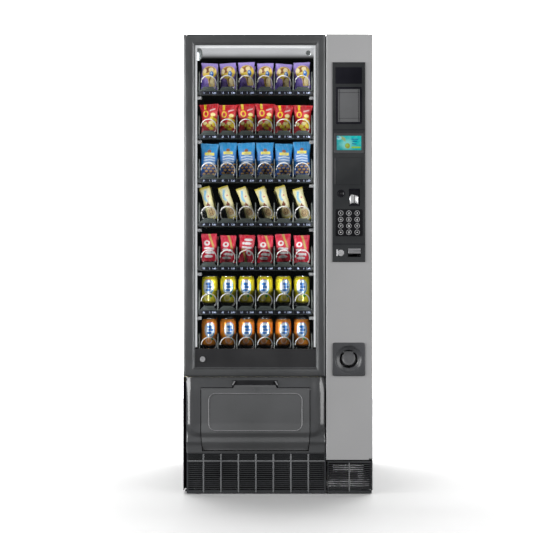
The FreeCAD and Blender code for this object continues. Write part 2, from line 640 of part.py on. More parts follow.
def control_module():
    """Black moulded fascia of the payment column, hollow from behind."""
    face = block((MODULE_LEFT, MODULE_RIGHT), (MODULE_FACE, DOOR_FACE), (MODULE_BOTTOM, MODULE_TOP))
    face = face.makeFillet(2.0, [e for e in face.Edges if abs(e.BoundBox.YMax - MODULE_FACE) < 0.01])
    body = block((MODULE_LEFT + 3.5, MODULE_RIGHT - 3.5), (DOOR_FACE, DOOR_FACE + MODULE_DEPTH),
                 (MODULE_BOTTOM + 3.5, MODULE_TOP - 3.5))
    hollow = block((MODULE_LEFT + 7, MODULE_RIGHT - 7),
                   (MODULE_FACE + MODULE_WALL, DOOR_FACE + MODULE_DEPTH + 1),
                   (MODULE_BOTTOM + 7, MODULE_TOP - 7))
    module = face.fuse(body).cut(hollow)
    cuts = [block((MODULE_LEFT - 1, MODULE_RIGHT + 1), (MODULE_FACE - 1, MODULE_FACE + 1.5),
                  (z - 0.7, z + 0.7))
            for z in SEAM_HEIGHTS]
    cuts += [recess((227, 335), (1630, 1698), 1.0, 3.0),
             recess((230, 334), (1471, 1619), 1.6, 4.0),
             recess((235, 329), (1476, 1614), 2.6, 3.0),
             recess((221, 341), (1354, 1436), 1.0, 4.0),
             recess((231, 334), (1228, 1339), 1.0, 4.0),
             recess((229, 337), (1025, 1133), 1.5, 5.0)]
    cuts += [rod((x, MODULE_FACE - 1, z), ALONG_Y, KEY_RADIUS + MOVING_GAP, 20.0) for x, z in key_centres()]
    cuts += [block((232, 333), (MODULE_FACE - 1, MODULE_FACE + MODULE_WALL + 1), (1366, 1426)),
             rod((REJECT_X, MODULE_FACE - 1, REJECT_Z), ALONG_Y, REJECT_RADIUS + MOVING_GAP, 20.0),
             rod((COLUMN_LOCK_X, MODULE_FACE - 1, COLUMN_LOCK_Z), ALONG_Y,
                 COLUMN_LOCK_RADIUS + MOVING_GAP, 20.0),
             block((281, 327), (MODULE_FACE - 1, MODULE_FACE + MODULE_WALL + 1), (1145, 1215)),
             block((279, 329), (MODULE_FACE - 1, MODULE_FACE + MODULE_WALL + 1), (943, 955)),
             recess((276, 332), (939, 978), 1.0, 2.0)]
    return module.cut(Part.makeCompound(cuts))


def display():
    """Colour display behind a thin bezel, seated in the module."""
    return block((232, 333), (MODULE_FACE + 1.0, MODULE_FACE + MODULE_WALL), (1366, 1426))


def coin_funnel():
    """Bright coin entry: a plate with a raised hooked trough round the coin slot."""
    front = MODULE_FACE + 3.0
    plate = block((281, 327), (front, front + 5.0), (1145, 1215))
    slot = block((300, 305), (MODULE_FACE - 1, front + 10), (1156, 1192))
    trough = block((292, 313), (MODULE_FACE, front), (1150, 1196))
    trough = trough.makeFillet(8.0, edges_along(trough, ALONG_Y, 1))
    lip = block((289, 316), (MODULE_FACE, front), (1149, 1156))
    return plate.multiFuse([trough, lip]).cut(slot).removeSplitter()


def key(x, z):
    """One round key with a retaining flange behind the fascia."""
    face = MODULE_FACE - 2.5
    rear = MODULE_FACE + MODULE_WALL
    cap = rod((x, face, z), ALONG_Y, KEY_RADIUS, rear - face + 2.5)
    rim = [e for e in cap.Edges if abs(e.BoundBox.YMax - face) < 0.01]
    cap = cap.makeFillet(1.2, rim)
    flange = rod((x, rear + MOVING_GAP, z), ALONG_Y, KEY_RADIUS + 0.8, 1.8)
    return cap.fuse(flange).removeSplitter()


def reject_button():
    """Round coin-reject button with a retaining flange."""
    face = MODULE_FACE - 1.5
    rear = MODULE_FACE + MODULE_WALL
    cap = rod((REJECT_X, face, REJECT_Z), ALONG_Y, REJECT_RADIUS, rear - face + 4.0)
    rim = [e for e in cap.Edges if abs(e.BoundBox.YMax - face) < 0.01]
    cap = cap.makeFillet(1.5, rim)
    flange = rod((REJECT_X, rear + MOVING_GAP, REJECT_Z), ALONG_Y, REJECT_RADIUS + 2.5, 2.0)
    return cap.fuse(flange).removeSplitter()


def column_lock():
    """Key-operated lock knob of the payment column."""
    return lock(COLUMN_LOCK_X, COLUMN_LOCK_Z, COLUMN_LOCK_RADIUS, MODULE_FACE - 2.0, DOOR_REAR - 4, 22.0)


def coin_cup():
    """Square bezel with a dished ring and a round coin-return bowl behind it."""
    half_x, low, high = 65.0, 469.0, 602.0
    bezel = block((COLUMN_MIDDLE - half_x, COLUMN_MIDDLE + half_x), (MODULE_FACE, DOOR_FACE), (low, high))
    bezel = bezel.makeFillet(2.0, [e for e in bezel.Edges if abs(e.BoundBox.YMax - MODULE_FACE) < 0.01])
    dish_depth = 16.0
    at = (COLUMN_MIDDLE, MODULE_FACE, CUP_Z)
    boss = rod(at, ALONG_Y, CUP_DISH_RADIUS + 1, dish_depth + 4)
    bowl = rod(at, ALONG_Y, CUP_BORE_RADIUS + 3, CUP_BACK - MODULE_FACE)
    dish = Part.makeCone(CUP_DISH_RADIUS, CUP_BORE_RADIUS + 1, dish_depth, Vector(*at), ALONG_Y)
    bore = rod(at, ALONG_Y, CUP_BORE_RADIUS, CUP_BACK - MODULE_FACE - 3)
    pivots = rod((COLUMN_MIDDLE - 30, CUP_FLAP_Y, CUP_FLAP_Z), ALONG_X, 1.5 + PIN_GAP, 60.0)
    body = bezel.multiFuse([boss, bowl]).cut(dish).cut(bore)
    return body.cut(pivots).removeSplitter()


def coin_cup_flap():
    """Round flap hung at the top of the coin-return bowl."""
    disc = rod((COLUMN_MIDDLE, CUP_FLAP_Y - 1.5, CUP_Z + 2), ALONG_Y, 27.0, 3.0)
    tube = rod((COLUMN_MIDDLE - 14, CUP_FLAP_Y, CUP_FLAP_Z), ALONG_X, 2.6, 28.0)
    pin = rod((COLUMN_MIDDLE - 24.5, CUP_FLAP_Y, CUP_FLAP_Z), ALONG_X, 1.5, 49.0)
    return disc.multiFuse([tube, pin]).removeSplitter()


# ---------------------------------------------------------------- trays
def tray_heights():
    """Height of the middle of each tray's price rail, from the top tray down."""
    return [TOP_TRAY_Z - TRAY_PITCH * index for index in range(TRAY_COUNT)]


def column_centres():
    """x of the six product columns."""
    return [TRAY_MIDDLE_X + (i - (COLUMNS - 1) / 2) * COLUMN_PITCH for i in range(COLUMNS)]


def tray(z):
    """Sheet tray with dividers, price rail, front lips, side wings and the rear motor rail."""
    half = COLUMNS * COLUMN_PITCH / 2 + DIVIDER / 2
    left, right = TRAY_MIDDLE_X - half, TRAY_MIDDLE_X + half
    deck_top = z + DECK_ABOVE_RAIL
    top = z + DIVIDER_HEIGHT
    pieces = [block((left, right), (TRAY_FRONT + 2, TRAY_DECK_END), (deck_top - 2, deck_top)),
              block((left, right), (TRAY_FRONT, TRAY_FRONT + 4), (z - 10, deck_top)),
              block((left, right), (TRAY_DECK_END, TRAY_DECK_END + 22), (z, top))]
    profile = [(TRAY_FRONT + 4, deck_top - 1), (TRAY_FRONT + 7, z + 58), (TRAY_FRONT + 26, top),
               (TRAY_DECK_END, top), (TRAY_DECK_END, deck_top - 1)]
    for index in range(COLUMNS + 1):
        x = TRAY_MIDDLE_X + (index - COLUMNS / 2) * COLUMN_PITCH
        pieces.append(plate_yz(profile, x - DIVIDER / 2, x + DIVIDER / 2))
    for side, edge in ((-1, left), (1, right)):
        wall = sorted((edge, edge - side * DIVIDER))
        wing = sorted((edge, edge + side * (WING - 1)))
        pieces.append(block(wall, (TRAY_FRONT + 4, TRAY_DECK_END), (z, deck_top)))
        pieces.append(block(wing, (TRAY_FRONT + 14, TRAY_DECK_END - 10), (z, z + 2)))
    for x in column_centres():
        lip = [(x - 34, deck_top - 1), (x + 34, deck_top - 1), (x + 19, z + 25), (x - 19, z + 25)]
        pieces.append(plate_xz(lip, TRAY_FRONT + 4, TRAY_FRONT + 5.5))
        motor = block((x - 24, x + 24), (TRAY_DECK_END + 22, TRAY_DECK_END + 50), (z + 18, z + 74))
        pieces.append(motor)
    body = pieces[0].multiFuse(pieces[1:])
    sockets = [rod((x, TRAY_DECK_END - 1, z + COIL_ABOVE_RAIL), ALONG_Y, WIRE_RADIUS + PIN_GAP, 13.0)
               for x in column_centres()]
    return body.cut(Part.makeCompound(sockets)).removeSplitter()


def spiral(turns):
    """Wire product spiral along Y about the origin's axis, with its rear end bent back into the motor.

    Its front end is at the left and the wire climbs over the top. Each turn is a run of short straight
    lengths of hexagonal wire, mitred where they meet.
    """
    points = []
    lengths = turns * COIL_SIDES
    for index in range(lengths + 1):
        turn = 2 * math.pi * index / COIL_SIDES
        points.append(Vector(-COIL_RADIUS * math.cos(turn), COIL_FRONT + COIL_LENGTH * index / lengths,
                             COIL_RADIUS * math.sin(turn)))
    points += [Vector(0, points[-1].y, 0), Vector(0, TRAY_DECK_END + 8, 0)]
    along = (points[1] - points[0]).normalize()
    across = along.cross(ALONG_X).normalize()
    other = along.cross(across)
    section = []
    for index in range(WIRE_SIDES + 1):
        turn = 2 * math.pi * index / WIRE_SIDES
        section.append(points[0] + (across * math.cos(turn) + other * math.sin(turn)) * WIRE_RADIUS)
    return Part.makePolygon(points).makePipeShell([Part.makePolygon(section)], True, False, 1)


def tray_runners():
    """Fourteen angle runners on the liner's walls, each with a front clip."""
    runners = []
    for z in tray_heights():
        for side in (-1, 1):
            wall = COLD_LEFT + LINER if side < 0 else COLD_RIGHT - LINER
            inward = -side
            upright = block(sorted((wall, wall + inward * 2)), (-340, 250), (z - 30, z + 30))
            ledge = block(sorted((wall, wall + inward * 22)), (-340, 250), (z - 2.3, z - MOVING_GAP))
            clip = block(sorted((wall, wall + inward * 38)), (-340, -338), (z - 30, z - 18))
            runners.append(upright.multiFuse([ledge, clip]).removeSplitter())
    return runners


def spirals_for(index, shape):
    """The fixed spirals of one tray, placed in their columns."""
    z = tray_heights()[index]
    placed = []
    for column, x in enumerate(column_centres()):
        if (index, column) != (TURNING_TRAY, TURNING_COLUMN):
            placed.append(shape.translated(Vector(x, 0, z + COIL_ABOVE_RAIL)))
    return placed


def build():
    """All nodes by name: a solid, or a list of identical separate solids."""
    nodes = {
        "cabinet_shell": cabinet_shell(),
        "foam_insulation": foam_insulation(),
        "inner_liner": inner_liner(),
        "base_frame": base_frame(),
        "levelling_feet": levelling_feet(),
        "tray_runners": tray_runners(),
        "kick_grille_left": kick_grille_left(),
        "kick_grille_right": kick_grille_right(),
        "compressor": compressor(),
        "condenser": condenser(),
        "cooling_fan": cooling_fan(),
        "evaporator": evaporator(),
        "mains_inlet": mains_inlet(),
        "coin_mechanism": coin_mechanism(),
        "bin_fascia": bin_fascia(),
        "bin_flap": bin_flap(),
        "bin_bucket": bin_bucket(),
        "anti_theft_flap": anti_theft_flap(),
        "hinge_pins": hinge_pins(),
        "door_frame": door_frame(),
        "door_glass": door_glass(),
        "window_band": window_band(),
        "door_lock": door_lock(),
        "door_gasket": door_gasket(),
        "led_strips": led_strips(),
        "column_panel": column_panel(),
        "control_module": control_module(),
        "display": display(),
        "coin_funnel": coin_funnel(),
        "reject_button": reject_button(),
        "column_lock": column_lock(),
        "coin_cup": coin_cup(),
        "coin_cup_flap": coin_cup_flap(),
    }
    for name, (x, z) in zip(KEY_NAMES, key_centres()):
        nodes["key_" + name] = key(x, z)
    coil = spiral(COIL_TURNS)
    can_coil = spiral(CAN_COIL_TURNS)
    for index, z in enumerate(tray_heights()):
        nodes["tray_%d" % (index + 1)] = tray(z)
        nodes["spirals_%d" % (index + 1)] = spirals_for(index, can_coil if index in CAN_TRAYS else coil)
    turning_z = tray_heights()[TURNING_TRAY] + COIL_ABOVE_RAIL
    nodes["turning_spiral"] = coil.translated(Vector(column_centres()[TURNING_COLUMN], 0, turning_z))
    return nodes


def export(nodes):
    """Write one STEP file per node."""
    os.makedirs("parts", exist_ok=True)
    for name, shape in nodes.items():
        if isinstance(shape, list):
            shape = Part.makeCompound(shape)
        shape.exportStep("parts/%s.step" % name)
        box = shape.BoundBox
        print("%-18s solids %2d valid %s  x %.1f..%.1f  y %.1f..%.1f  z %.1f..%.1f" % (
            name, len(shape.Solids), shape.isValid(), box.XMin, box.XMax, box.YMin, box.YMax,
            box.ZMin, box.ZMax))


export(build())
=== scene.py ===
"""Looks of a spiral snack vending machine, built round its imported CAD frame.

Metres, +Z up. The front faces -Y and +X is to the right of somebody standing in front.
"""
import json
import math
import random

import bpy
from mathutils import Matrix, Vector, noise


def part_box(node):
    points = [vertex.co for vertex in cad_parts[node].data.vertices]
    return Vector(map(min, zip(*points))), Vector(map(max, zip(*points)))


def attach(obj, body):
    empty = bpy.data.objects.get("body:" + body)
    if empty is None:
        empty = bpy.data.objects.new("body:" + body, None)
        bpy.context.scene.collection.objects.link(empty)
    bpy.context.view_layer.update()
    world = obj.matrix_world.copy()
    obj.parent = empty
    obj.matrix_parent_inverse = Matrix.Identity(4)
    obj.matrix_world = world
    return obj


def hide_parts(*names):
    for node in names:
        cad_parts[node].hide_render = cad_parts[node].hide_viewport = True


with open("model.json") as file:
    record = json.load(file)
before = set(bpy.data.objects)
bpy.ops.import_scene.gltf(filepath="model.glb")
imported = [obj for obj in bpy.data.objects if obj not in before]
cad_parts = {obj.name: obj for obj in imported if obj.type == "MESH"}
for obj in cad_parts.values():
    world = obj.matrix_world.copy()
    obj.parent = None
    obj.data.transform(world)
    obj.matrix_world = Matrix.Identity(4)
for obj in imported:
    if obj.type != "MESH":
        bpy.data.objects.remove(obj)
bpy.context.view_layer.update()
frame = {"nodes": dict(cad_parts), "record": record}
NODES = frame["nodes"]
MM = 0.001


def span(node):
    """A node's box as (x low, x high), (y low, y high), (z low, z high)."""
    low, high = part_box(node)
    return [(low[i], high[i]) for i in range(3)]


# ---- places read from the frame ----
(DOOR_X, DOOR_Y, DOOR_Z) = span("door_frame")
(GLASS_X, GLASS_Y, GLASS_Z) = span("door_glass")
BAND_Z = span("window_band")[2]
(MODULE_X, MODULE_Y, _) = span("control_module")
(SCREEN_X, SCREEN_Y, SCREEN_Z) = span("display")
(CUP_X, CUP_Y, _) = span("coin_cup")
(BIN_X, BIN_Y, BIN_Z) = span("bin_fascia")
(GRILLE_X, GRILLE_Y, GRILLE_Z) = span("kick_grille_left")
(SMALL_GRILLE_X, _, SMALL_GRILLE_Z) = span("kick_grille_right")
(LINER_X, LINER_Y, LINER_Z) = span("inner_liner")

REBATE = 5 * MM
WINDOW_X = (GLASS_X[0] + REBATE, GLASS_X[1] - REBATE)
WINDOW_Z = (BAND_Z[0] + REBATE, GLASS_Z[1] - REBATE)
MODULE_FACE = MODULE_Y[0]
COLUMN_MIDDLE = (MODULE_X[0] + MODULE_X[1]) / 2
TRAY_COUNT = 7
COLUMNS = 6
RAIL_HALF = 10 * MM
CUP_MIDDLE_Z = 536 * MM
KEYS = ("1", "2", "3", "4", "5", "6", "7", "8", "9", "clear", "0", "enter")


# ---------------------------------------------------------------- materials
def start_material(name):
    """New node material: (material, nodes, links, shader)."""
    material = bpy.data.materials.new(name)
    material.use_nodes = True
    tree = material.node_tree
    return material, tree.nodes, tree.links, tree.nodes["Principled BSDF"]


def noise_node(nodes, links, scale, stretch=(1, 1, 1), detail=3.0):
    """Noise over the object's own metres, optionally stretched."""
    place = nodes.new("ShaderNodeTexCoord")
    mapping = nodes.new("ShaderNodeMapping")
    mapping.inputs["Scale"].default_value = stretch
    links.new(place.outputs["Object"], mapping.inputs["Vector"])
    texture = nodes.new("ShaderNodeTexNoise")
    texture.inputs["Scale"].default_value = scale
    texture.inputs["Detail"].default_value = detail
    links.new(mapping.outputs["Vector"], texture.inputs["Vector"])
    return texture.outputs["Fac"]


def remap(nodes, links, source, low, high, start=0.3, end=0.7):
    """A noise value spread from low to high."""
    node = nodes.new("ShaderNodeMapRange")
    node.inputs["From Min"].default_value = start
    node.inputs["From Max"].default_value = end
    node.inputs["To Min"].default_value = low
    node.inputs["To Max"].default_value = high
    links.new(source, node.inputs["Value"])
    return node.outputs["Result"]


def blend_colours(nodes, links, factor, first, second):
    """Mix of two colours, each a tuple or a socket."""
    mix = nodes.new("ShaderNodeMix")
    mix.data_type = "RGBA"
    links.new(factor, mix.inputs["Factor"])
    for socket, value in ((mix.inputs["A"], first), (mix.inputs["B"], second)):
        if isinstance(value, tuple):
            socket.default_value = (*value, 1.0)
        else:
            links.new(value, socket)
    return mix.outputs["Result"]


def add_bump(nodes, links, shader, height, strength, distance):
    """Bump from a height value."""
    bump = nodes.new("ShaderNodeBump")
    bump.inputs["Strength"].default_value = strength
    bump.inputs["Distance"].default_value = distance
    links.new(height, bump.inputs["Height"])
    links.new(bump.outputs["Normal"], shader.inputs["Normal"])


def surface(name, dark, light, rough=(0.4, 0.5), metal=0.0, grain=900.0, stretch=(1, 1, 1),
            bump=0.15, depth=0.0002, patch=7.0, coat=0.0, specular=0.5):
    """Finish with colour patches, uneven gloss and a fine grain."""
    material, nodes, links, shader = start_material(name)
    patches = remap(nodes, links, noise_node(nodes, links, patch), 0.0, 1.0, 0.35, 0.65)
    links.new(blend_colours(nodes, links, patches, dark, light), shader.inputs["Base Color"])
    fine = noise_node(nodes, links, grain, stretch)
    links.new(remap(nodes, links, fine, *rough), shader.inputs["Roughness"])
    add_bump(nodes, links, shader, fine, bump, depth)
    shader.inputs["Metallic"].default_value = metal
    shader.inputs["Coat Weight"].default_value = coat
    shader.inputs["Coat Roughness"].default_value = 0.12
    shader.inputs["Specular IOR Level"].default_value = specular
    return material


def glowing(name, colour, strength, shade=(0.8, 0.8, 0.8)):
    """Frosted finish that also shines: the light diffusers, the backdrop, and the painted glow of the price
    digits.
    """
    material, nodes, links, shader = start_material(name)
    fine = noise_node(nodes, links, 700.0)
    links.new(remap(nodes, links, fine, 0.35, 0.5), shader.inputs["Roughness"])
    add_bump(nodes, links, shader, fine, 0.1, 0.0002)
    shader.inputs["Base Color"].default_value = (*shade, 1.0)
    shader.inputs["Emission Color"].default_value = (*colour, 1.0)
    shader.inputs["Emission Strength"].default_value = strength
    return material


def clear_glass():
    """Door glazing: nearly clear, with a faint even haze."""
    material, nodes, links, shader = start_material("glazing")
    haze = noise_node(nodes, links, 5.0)
    links.new(remap(nodes, links, haze, 0.02, 0.05), shader.inputs["Roughness"])
    shader.inputs["Base Color"].default_value = (0.01, 0.012, 0.012, 1.0)
    shader.inputs["Alpha"].default_value = 0.03
    shader.inputs["IOR"].default_value = 1.5
    shader.inputs["Specular IOR Level"].default_value = 0.3
    return material


def printed(name, rough=(0.22, 0.38), metal=0.0, bump=0.25, depth=0.0008, grain=120.0, glow=0.0):
    """Print on film or metal: colour from the mesh, with crinkles in the film."""
    material, nodes, links, shader = start_material(name)
    colour = nodes.new("ShaderNodeAttribute")
    colour.attribute_name = "print"
    fade = remap(nodes, links, noise_node(nodes, links, 60.0), 0.0, 0.05, 0.4, 0.75)
    shader.inputs["Specular IOR Level"].default_value = 0.3
    links.new(blend_colours(nodes, links, fade, colour.outputs["Color"], (0.9, 0.9, 0.9)),
              shader.inputs["Base Color"])
    crinkle = noise_node(nodes, links, grain, (1, 1, 0.6), 4.0)
    links.new(remap(nodes, links, crinkle, *rough), shader.inputs["Roughness"])
    add_bump(nodes, links, shader, crinkle, bump, depth)
    shader.inputs["Metallic"].default_value = metal
    if glow:
        links.new(colour.outputs["Color"], shader.inputs["Emission Color"])
        shader.inputs["Emission Strength"].default_value = glow
    return material


def make_materials():
    """Every finish, by name. The names of the record's slots come first."""
    upright = (1, 1, 0.04)
    level = (0.04, 1, 1)
    made = {}

    def paint(name, *values, **options):
        made[name] = surface(name, *values, **options)

    paint("cabinet_paint", (0.018, 0.018, 0.02), (0.025, 0.025, 0.027), (0.42, 0.55), specular=0.25)
    paint("column_paint", (0.235, 0.235, 0.237), (0.262, 0.262, 0.265), (0.36, 0.48), metal=0.25,
          grain=1600, bump=0.12, patch=2.0)
    paint("door_aluminium", (0.058, 0.06, 0.062), (0.072, 0.074, 0.076), (0.3, 0.42), metal=0.55, grain=500,
          stretch=upright, bump=0.08)
    made["door_glass"] = clear_glass()
    paint("band_plastic", (0.016, 0.016, 0.017), (0.022, 0.022, 0.023), (0.16, 0.26), specular=0.3)
    paint("seal_rubber", (0.012, 0.012, 0.012), (0.022, 0.022, 0.022), (0.6, 0.8), grain=500, bump=0.3)
    made["led_diffuser"] = glowing("led_diffuser", (0.93, 0.97, 1.0), 0.42, (0.4, 0.4, 0.4))
    paint("module_plastic", (0.013, 0.014, 0.015), (0.02, 0.021, 0.022), (0.38, 0.5), grain=2200, bump=0.3,
          specular=0.12)
    paint("display_face", (0.01, 0.01, 0.012), (0.016, 0.016, 0.018), (0.08, 0.16))
    paint("key_plastic", (0.004, 0.004, 0.005), (0.008, 0.008, 0.009), (0.25, 0.36), specular=0.12)
    paint("lock_chrome", (0.4, 0.4, 0.41), (0.54, 0.54, 0.55), (0.2, 0.32), metal=0.55, grain=1500,
          bump=0.08)
    paint("cup_plastic", (0.034, 0.035, 0.037), (0.046, 0.047, 0.05), (0.22, 0.32), grain=1500, bump=0.15,
          specular=0.3)
    paint("bin_plastic", (0.032, 0.033, 0.034), (0.042, 0.043, 0.045), (0.2, 0.28), grain=1700, bump=0.1,
          patch=4.0, coat=0.5, specular=0.3)
    paint("flap_plastic", (0.046, 0.047, 0.048), (0.058, 0.059, 0.061), (0.3, 0.4), grain=1900, bump=0.2,
          patch=4.0, specular=0.3)
    paint("grille_plastic", (0.016, 0.017, 0.018), (0.024, 0.025, 0.027), (0.4, 0.52), grain=1500, bump=0.2,
          specular=0.15)
    paint("black_plastic", (0.006, 0.006, 0.007), (0.011, 0.011, 0.012), (0.5, 0.65), specular=0.08)
    paint("mechanism_plastic", (0.05, 0.05, 0.06), (0.08, 0.08, 0.09), (0.3, 0.45))
    paint("black_paint", (0.008, 0.008, 0.009), (0.014, 0.014, 0.015), (0.4, 0.55), specular=0.1)
    paint("zinc_steel", (0.42, 0.43, 0.44), (0.58, 0.59, 0.6), (0.3, 0.5), metal=0.9, grain=90, bump=0.05,
          patch=40.0)
    paint("tray_steel", (0.018, 0.023, 0.021), (0.028, 0.034, 0.031), (0.4, 0.52), grain=1200, bump=0.15,
          specular=0.25)
    paint("spiral_wire", (0.6, 0.59, 0.57), (0.74, 0.73, 0.71), (0.28, 0.42), metal=0.15, grain=800,
          bump=0.1)
    paint("liner", (0.003, 0.003, 0.0035), (0.006, 0.006, 0.0065), (0.6, 0.75), grain=300, specular=0.1)
    paint("foam", (0.62, 0.56, 0.38), (0.74, 0.68, 0.5), (0.8, 0.95), grain=260, bump=0.6, depth=0.001)
    # near black aluminium: painted shade for fins that sit in the dark behind the kick grille
    paint("fin_aluminium", (0.05, 0.05, 0.052), (0.09, 0.09, 0.092), (0.4, 0.55), metal=0.7, grain=300,
          stretch=level)
    # lighter grey that paints highlights: on the notch sides and on the flap's raised line
    paint("painted_highlight_grey", (0.12, 0.12, 0.125), (0.17, 0.17, 0.175), (0.25, 0.35), grain=1500)
    paint("rib_grey", (0.07, 0.072, 0.075), (0.095, 0.097, 0.1), (0.3, 0.42), grain=1500)
    paint("pad_grey", (0.062, 0.063, 0.065), (0.076, 0.077, 0.08), (0.3, 0.4), grain=1200, specular=0.25)
    paint("bezel_grey", (0.03, 0.031, 0.033), (0.04, 0.041, 0.043), (0.3, 0.4), grain=1200, specular=0.2)
    paint("satin_grey", (0.2, 0.2, 0.205), (0.27, 0.27, 0.28), (0.25, 0.38), metal=0.6, grain=700,
          stretch=level)
    paint("price_black", (0.004, 0.004, 0.006), (0.008, 0.008, 0.011), (0.25, 0.35), specular=0.1)
    # price digits glow as painted light; the printed digits are no lamp
    made["price_digits_painted_glow"] = glowing("price_digits_painted_glow", (0.5, 0.6, 0.95), 0.45, (0.4, 0.46, 0.6))
    paint("key_ring", (0.26, 0.26, 0.265), (0.34, 0.34, 0.35), (0.25, 0.4), grain=1500)
    paint("key_digit", (0.5, 0.5, 0.5), (0.66, 0.66, 0.66), (0.3, 0.45), grain=1500)
    made["ceiling_glow"] = ceiling_glow()
    paint("clear_lens", (0.07, 0.075, 0.075), (0.14, 0.15, 0.15), (0.08, 0.2), coat=0.5)
    made["film"] = printed("film", (0.3, 0.46))
    made["can_print"] = printed("can_print", (0.16, 0.24), 0.35, 0.03, 0.0002, 400.0)
    paint("can_metal", (0.6, 0.6, 0.61), (0.74, 0.74, 0.75), (0.16, 0.26), metal=1.0, grain=900)
    made["screen_print"] = printed("screen_print", (0.1, 0.18), bump=0.02, depth=0.0001, glow=0.25)
    paint("runner_dark", (0.02, 0.02, 0.021), (0.06, 0.06, 0.06), (0.4, 0.6), patch=60.0)
    made["steel_shade"] = shaded_steel()
    paint("tray_edge", (0.07, 0.08, 0.075), (0.11, 0.12, 0.115), (0.3, 0.45), grain=900)
    return made


def shaded_steel():
    """Zinc-plated steel of the base with painted shade: near black under the cold compartment, bright below
    the payment column.
    """
    material, nodes, links, shader = start_material("steel_shade")
    place = nodes.new("ShaderNodeTexCoord")
    axes = nodes.new("ShaderNodeSeparateXYZ")
    links.new(place.outputs["Object"], axes.inputs["Vector"])
    # painted shade: near black where the frame lies in the dark under the cold compartment, bright below the
    # payment column
    unshaded_share = remap(nodes, links, axes.outputs["X"], 0.0, 1.0, DOOR_X[1] + 0.005, DOOR_X[1] + 0.015)
    spots = remap(nodes, links, noise_node(nodes, links, 60.0), 0.8, 1.0)
    amount = nodes.new("ShaderNodeMath")
    amount.operation = "MULTIPLY"
    links.new(unshaded_share, amount.inputs[0])
    links.new(spots, amount.inputs[1])
    links.new(blend_colours(nodes, links, amount.outputs["Value"], (0.012, 0.012, 0.013), (0.8, 0.8, 0.81)),
              shader.inputs["Base Color"])
    fine = noise_node(nodes, links, 300.0)
    links.new(remap(nodes, links, fine, 0.4, 0.6), shader.inputs["Roughness"])
    add_bump(nodes, links, shader, fine, 0.1, 0.0002)
    return material


def ceiling_glow():
    """Pale cover over the top light, its glow painted to fade: bright at the window and dark towards the
    back, like light falling off.
    """
    material, nodes, links, shader = start_material("ceiling_glow")
    place = nodes.new("ShaderNodeTexCoord")
    axes = nodes.new("ShaderNodeSeparateXYZ")
    links.new(place.outputs["Object"], axes.inputs["Vector"])
    # painted light: the glow fades from the window towards the back as if the light fell off
    painted_falloff = nodes.new("ShaderNodeMapRange")
    painted_falloff.interpolation_type = "SMOOTHERSTEP"
    painted_falloff.inputs["From Min"].default_value = LINER_Y[0] + 0.33
    painted_falloff.inputs["From Max"].default_value = LINER_Y[0] + 0.13
    links.new(axes.outputs["Y"], painted_falloff.inputs["Value"])
    cloud = remap(nodes, links, noise_node(nodes, links, 9.0), 0.92, 1.05)
    product = nodes.new("ShaderNodeMath")
    product.operation = "MULTIPLY"
    links.new(painted_falloff.outputs["Result"], product.inputs[0])
    links.new(cloud, product.inputs[1])
    shade = blend_colours(nodes, links, product.outputs["Value"], (0.0, 0.0, 0.0), (0.8, 0.82, 0.84))
    links.new(shade, shader.inputs["Emission Color"])
    shader.inputs["Base Color"].default_value = (0.02, 0.02, 0.02, 1.0)
    fine = noise_node(nodes, links, 500.0)
    links.new(remap(nodes, links, fine, 0.4, 0.55), shader.inputs["Roughness"])
    add_bump(nodes, links, shader, fine, 0.1, 0.0002)
    shader.inputs["Emission Strength"].default_value = 0.68
    return material


# ---------------------------------------------------------------- mesh helpers
class Pile:
    """Vertices, faces, face materials and print colours collected for one mesh."""

    def __init__(self):
        self.vertices = []
        self.faces = []
        self.slots = []
        self.colours = []

    def add(self, shape, slot=0, place=None, colours=None):
        """Add (vertices, faces), moved by a matrix."""
        vertices, faces = shape
        start = len(self.vertices)
        if place is None:
            self.vertices += [Vector(v) for v in vertices]
        else:
            self.vertices += [place @ Vector(v) for v in vertices]
        self.faces += [tuple(start + i for i in face) for face in faces]
        self.slots += [slot] * len(faces)
        self.colours += colours or [(0.5, 0.5, 0.5)] * len(vertices)

    def piece(self, name, body, finishes, sharp=38.0):
        """Turn the pile into one object that rides on a body."""
        mesh = bpy.data.meshes.new(name)
        mesh.from_pydata(self.vertices, [], self.faces)
        for finish in finishes:
            mesh.materials.append(FINISH[finish])
        mesh.polygons.foreach_set("material_index", self.slots)
        mesh.validate()
        layer = mesh.color_attributes.new("print", "FLOAT_COLOR", "POINT")
        layer.data.foreach_set("color", [c for rgb in self.colours for c in (*rgb, 1.0)])
        mesh.shade_smooth()
        mesh.set_sharp_from_angle(angle=math.radians(sharp))
        obj = bpy.data.objects.new(name, mesh)
        bpy.context.scene.collection.objects.link(obj)
        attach(obj, body)
        return obj


def slab(x, y, z):
    """Box between (low, high) pairs."""
    corners = [(a, b, c) for a in x for b in y for c in z]
    faces = [(0, 1, 3, 2), (4, 6, 7, 5), (0, 4, 5, 1), (2, 3, 7, 6), (0, 2, 6, 4), (1, 5, 7, 3)]
    return corners, faces


def loft(rings, closed=True, start_cap=False, end_cap=False):
    """Skin over rings that have the same number of points."""
    count = len(rings[0])
    vertices = [point for ring in rings for point in ring]
    faces = []
    for row in range(len(rings) - 1):
        for i in range(count if closed else count - 1):
            j = (i + 1) % count
            a, b = row * count, (row + 1) * count
            faces.append((a + i, a + j, b + j, b + i))
    if start_cap:
        faces.append(tuple(range(count))[::-1])
    if end_cap:
        faces.append(tuple(range((len(rings) - 1) * count, len(rings) * count)))
    return vertices, faces


def circle_ring(x, z, radius, y, count=48):
    """Ring of points in a plane that faces -Y."""
    turns = [2 * math.pi * i / count for i in range(count)]
    return [(x + radius * math.cos(t), y, z + radius * math.sin(t)) for t in turns]


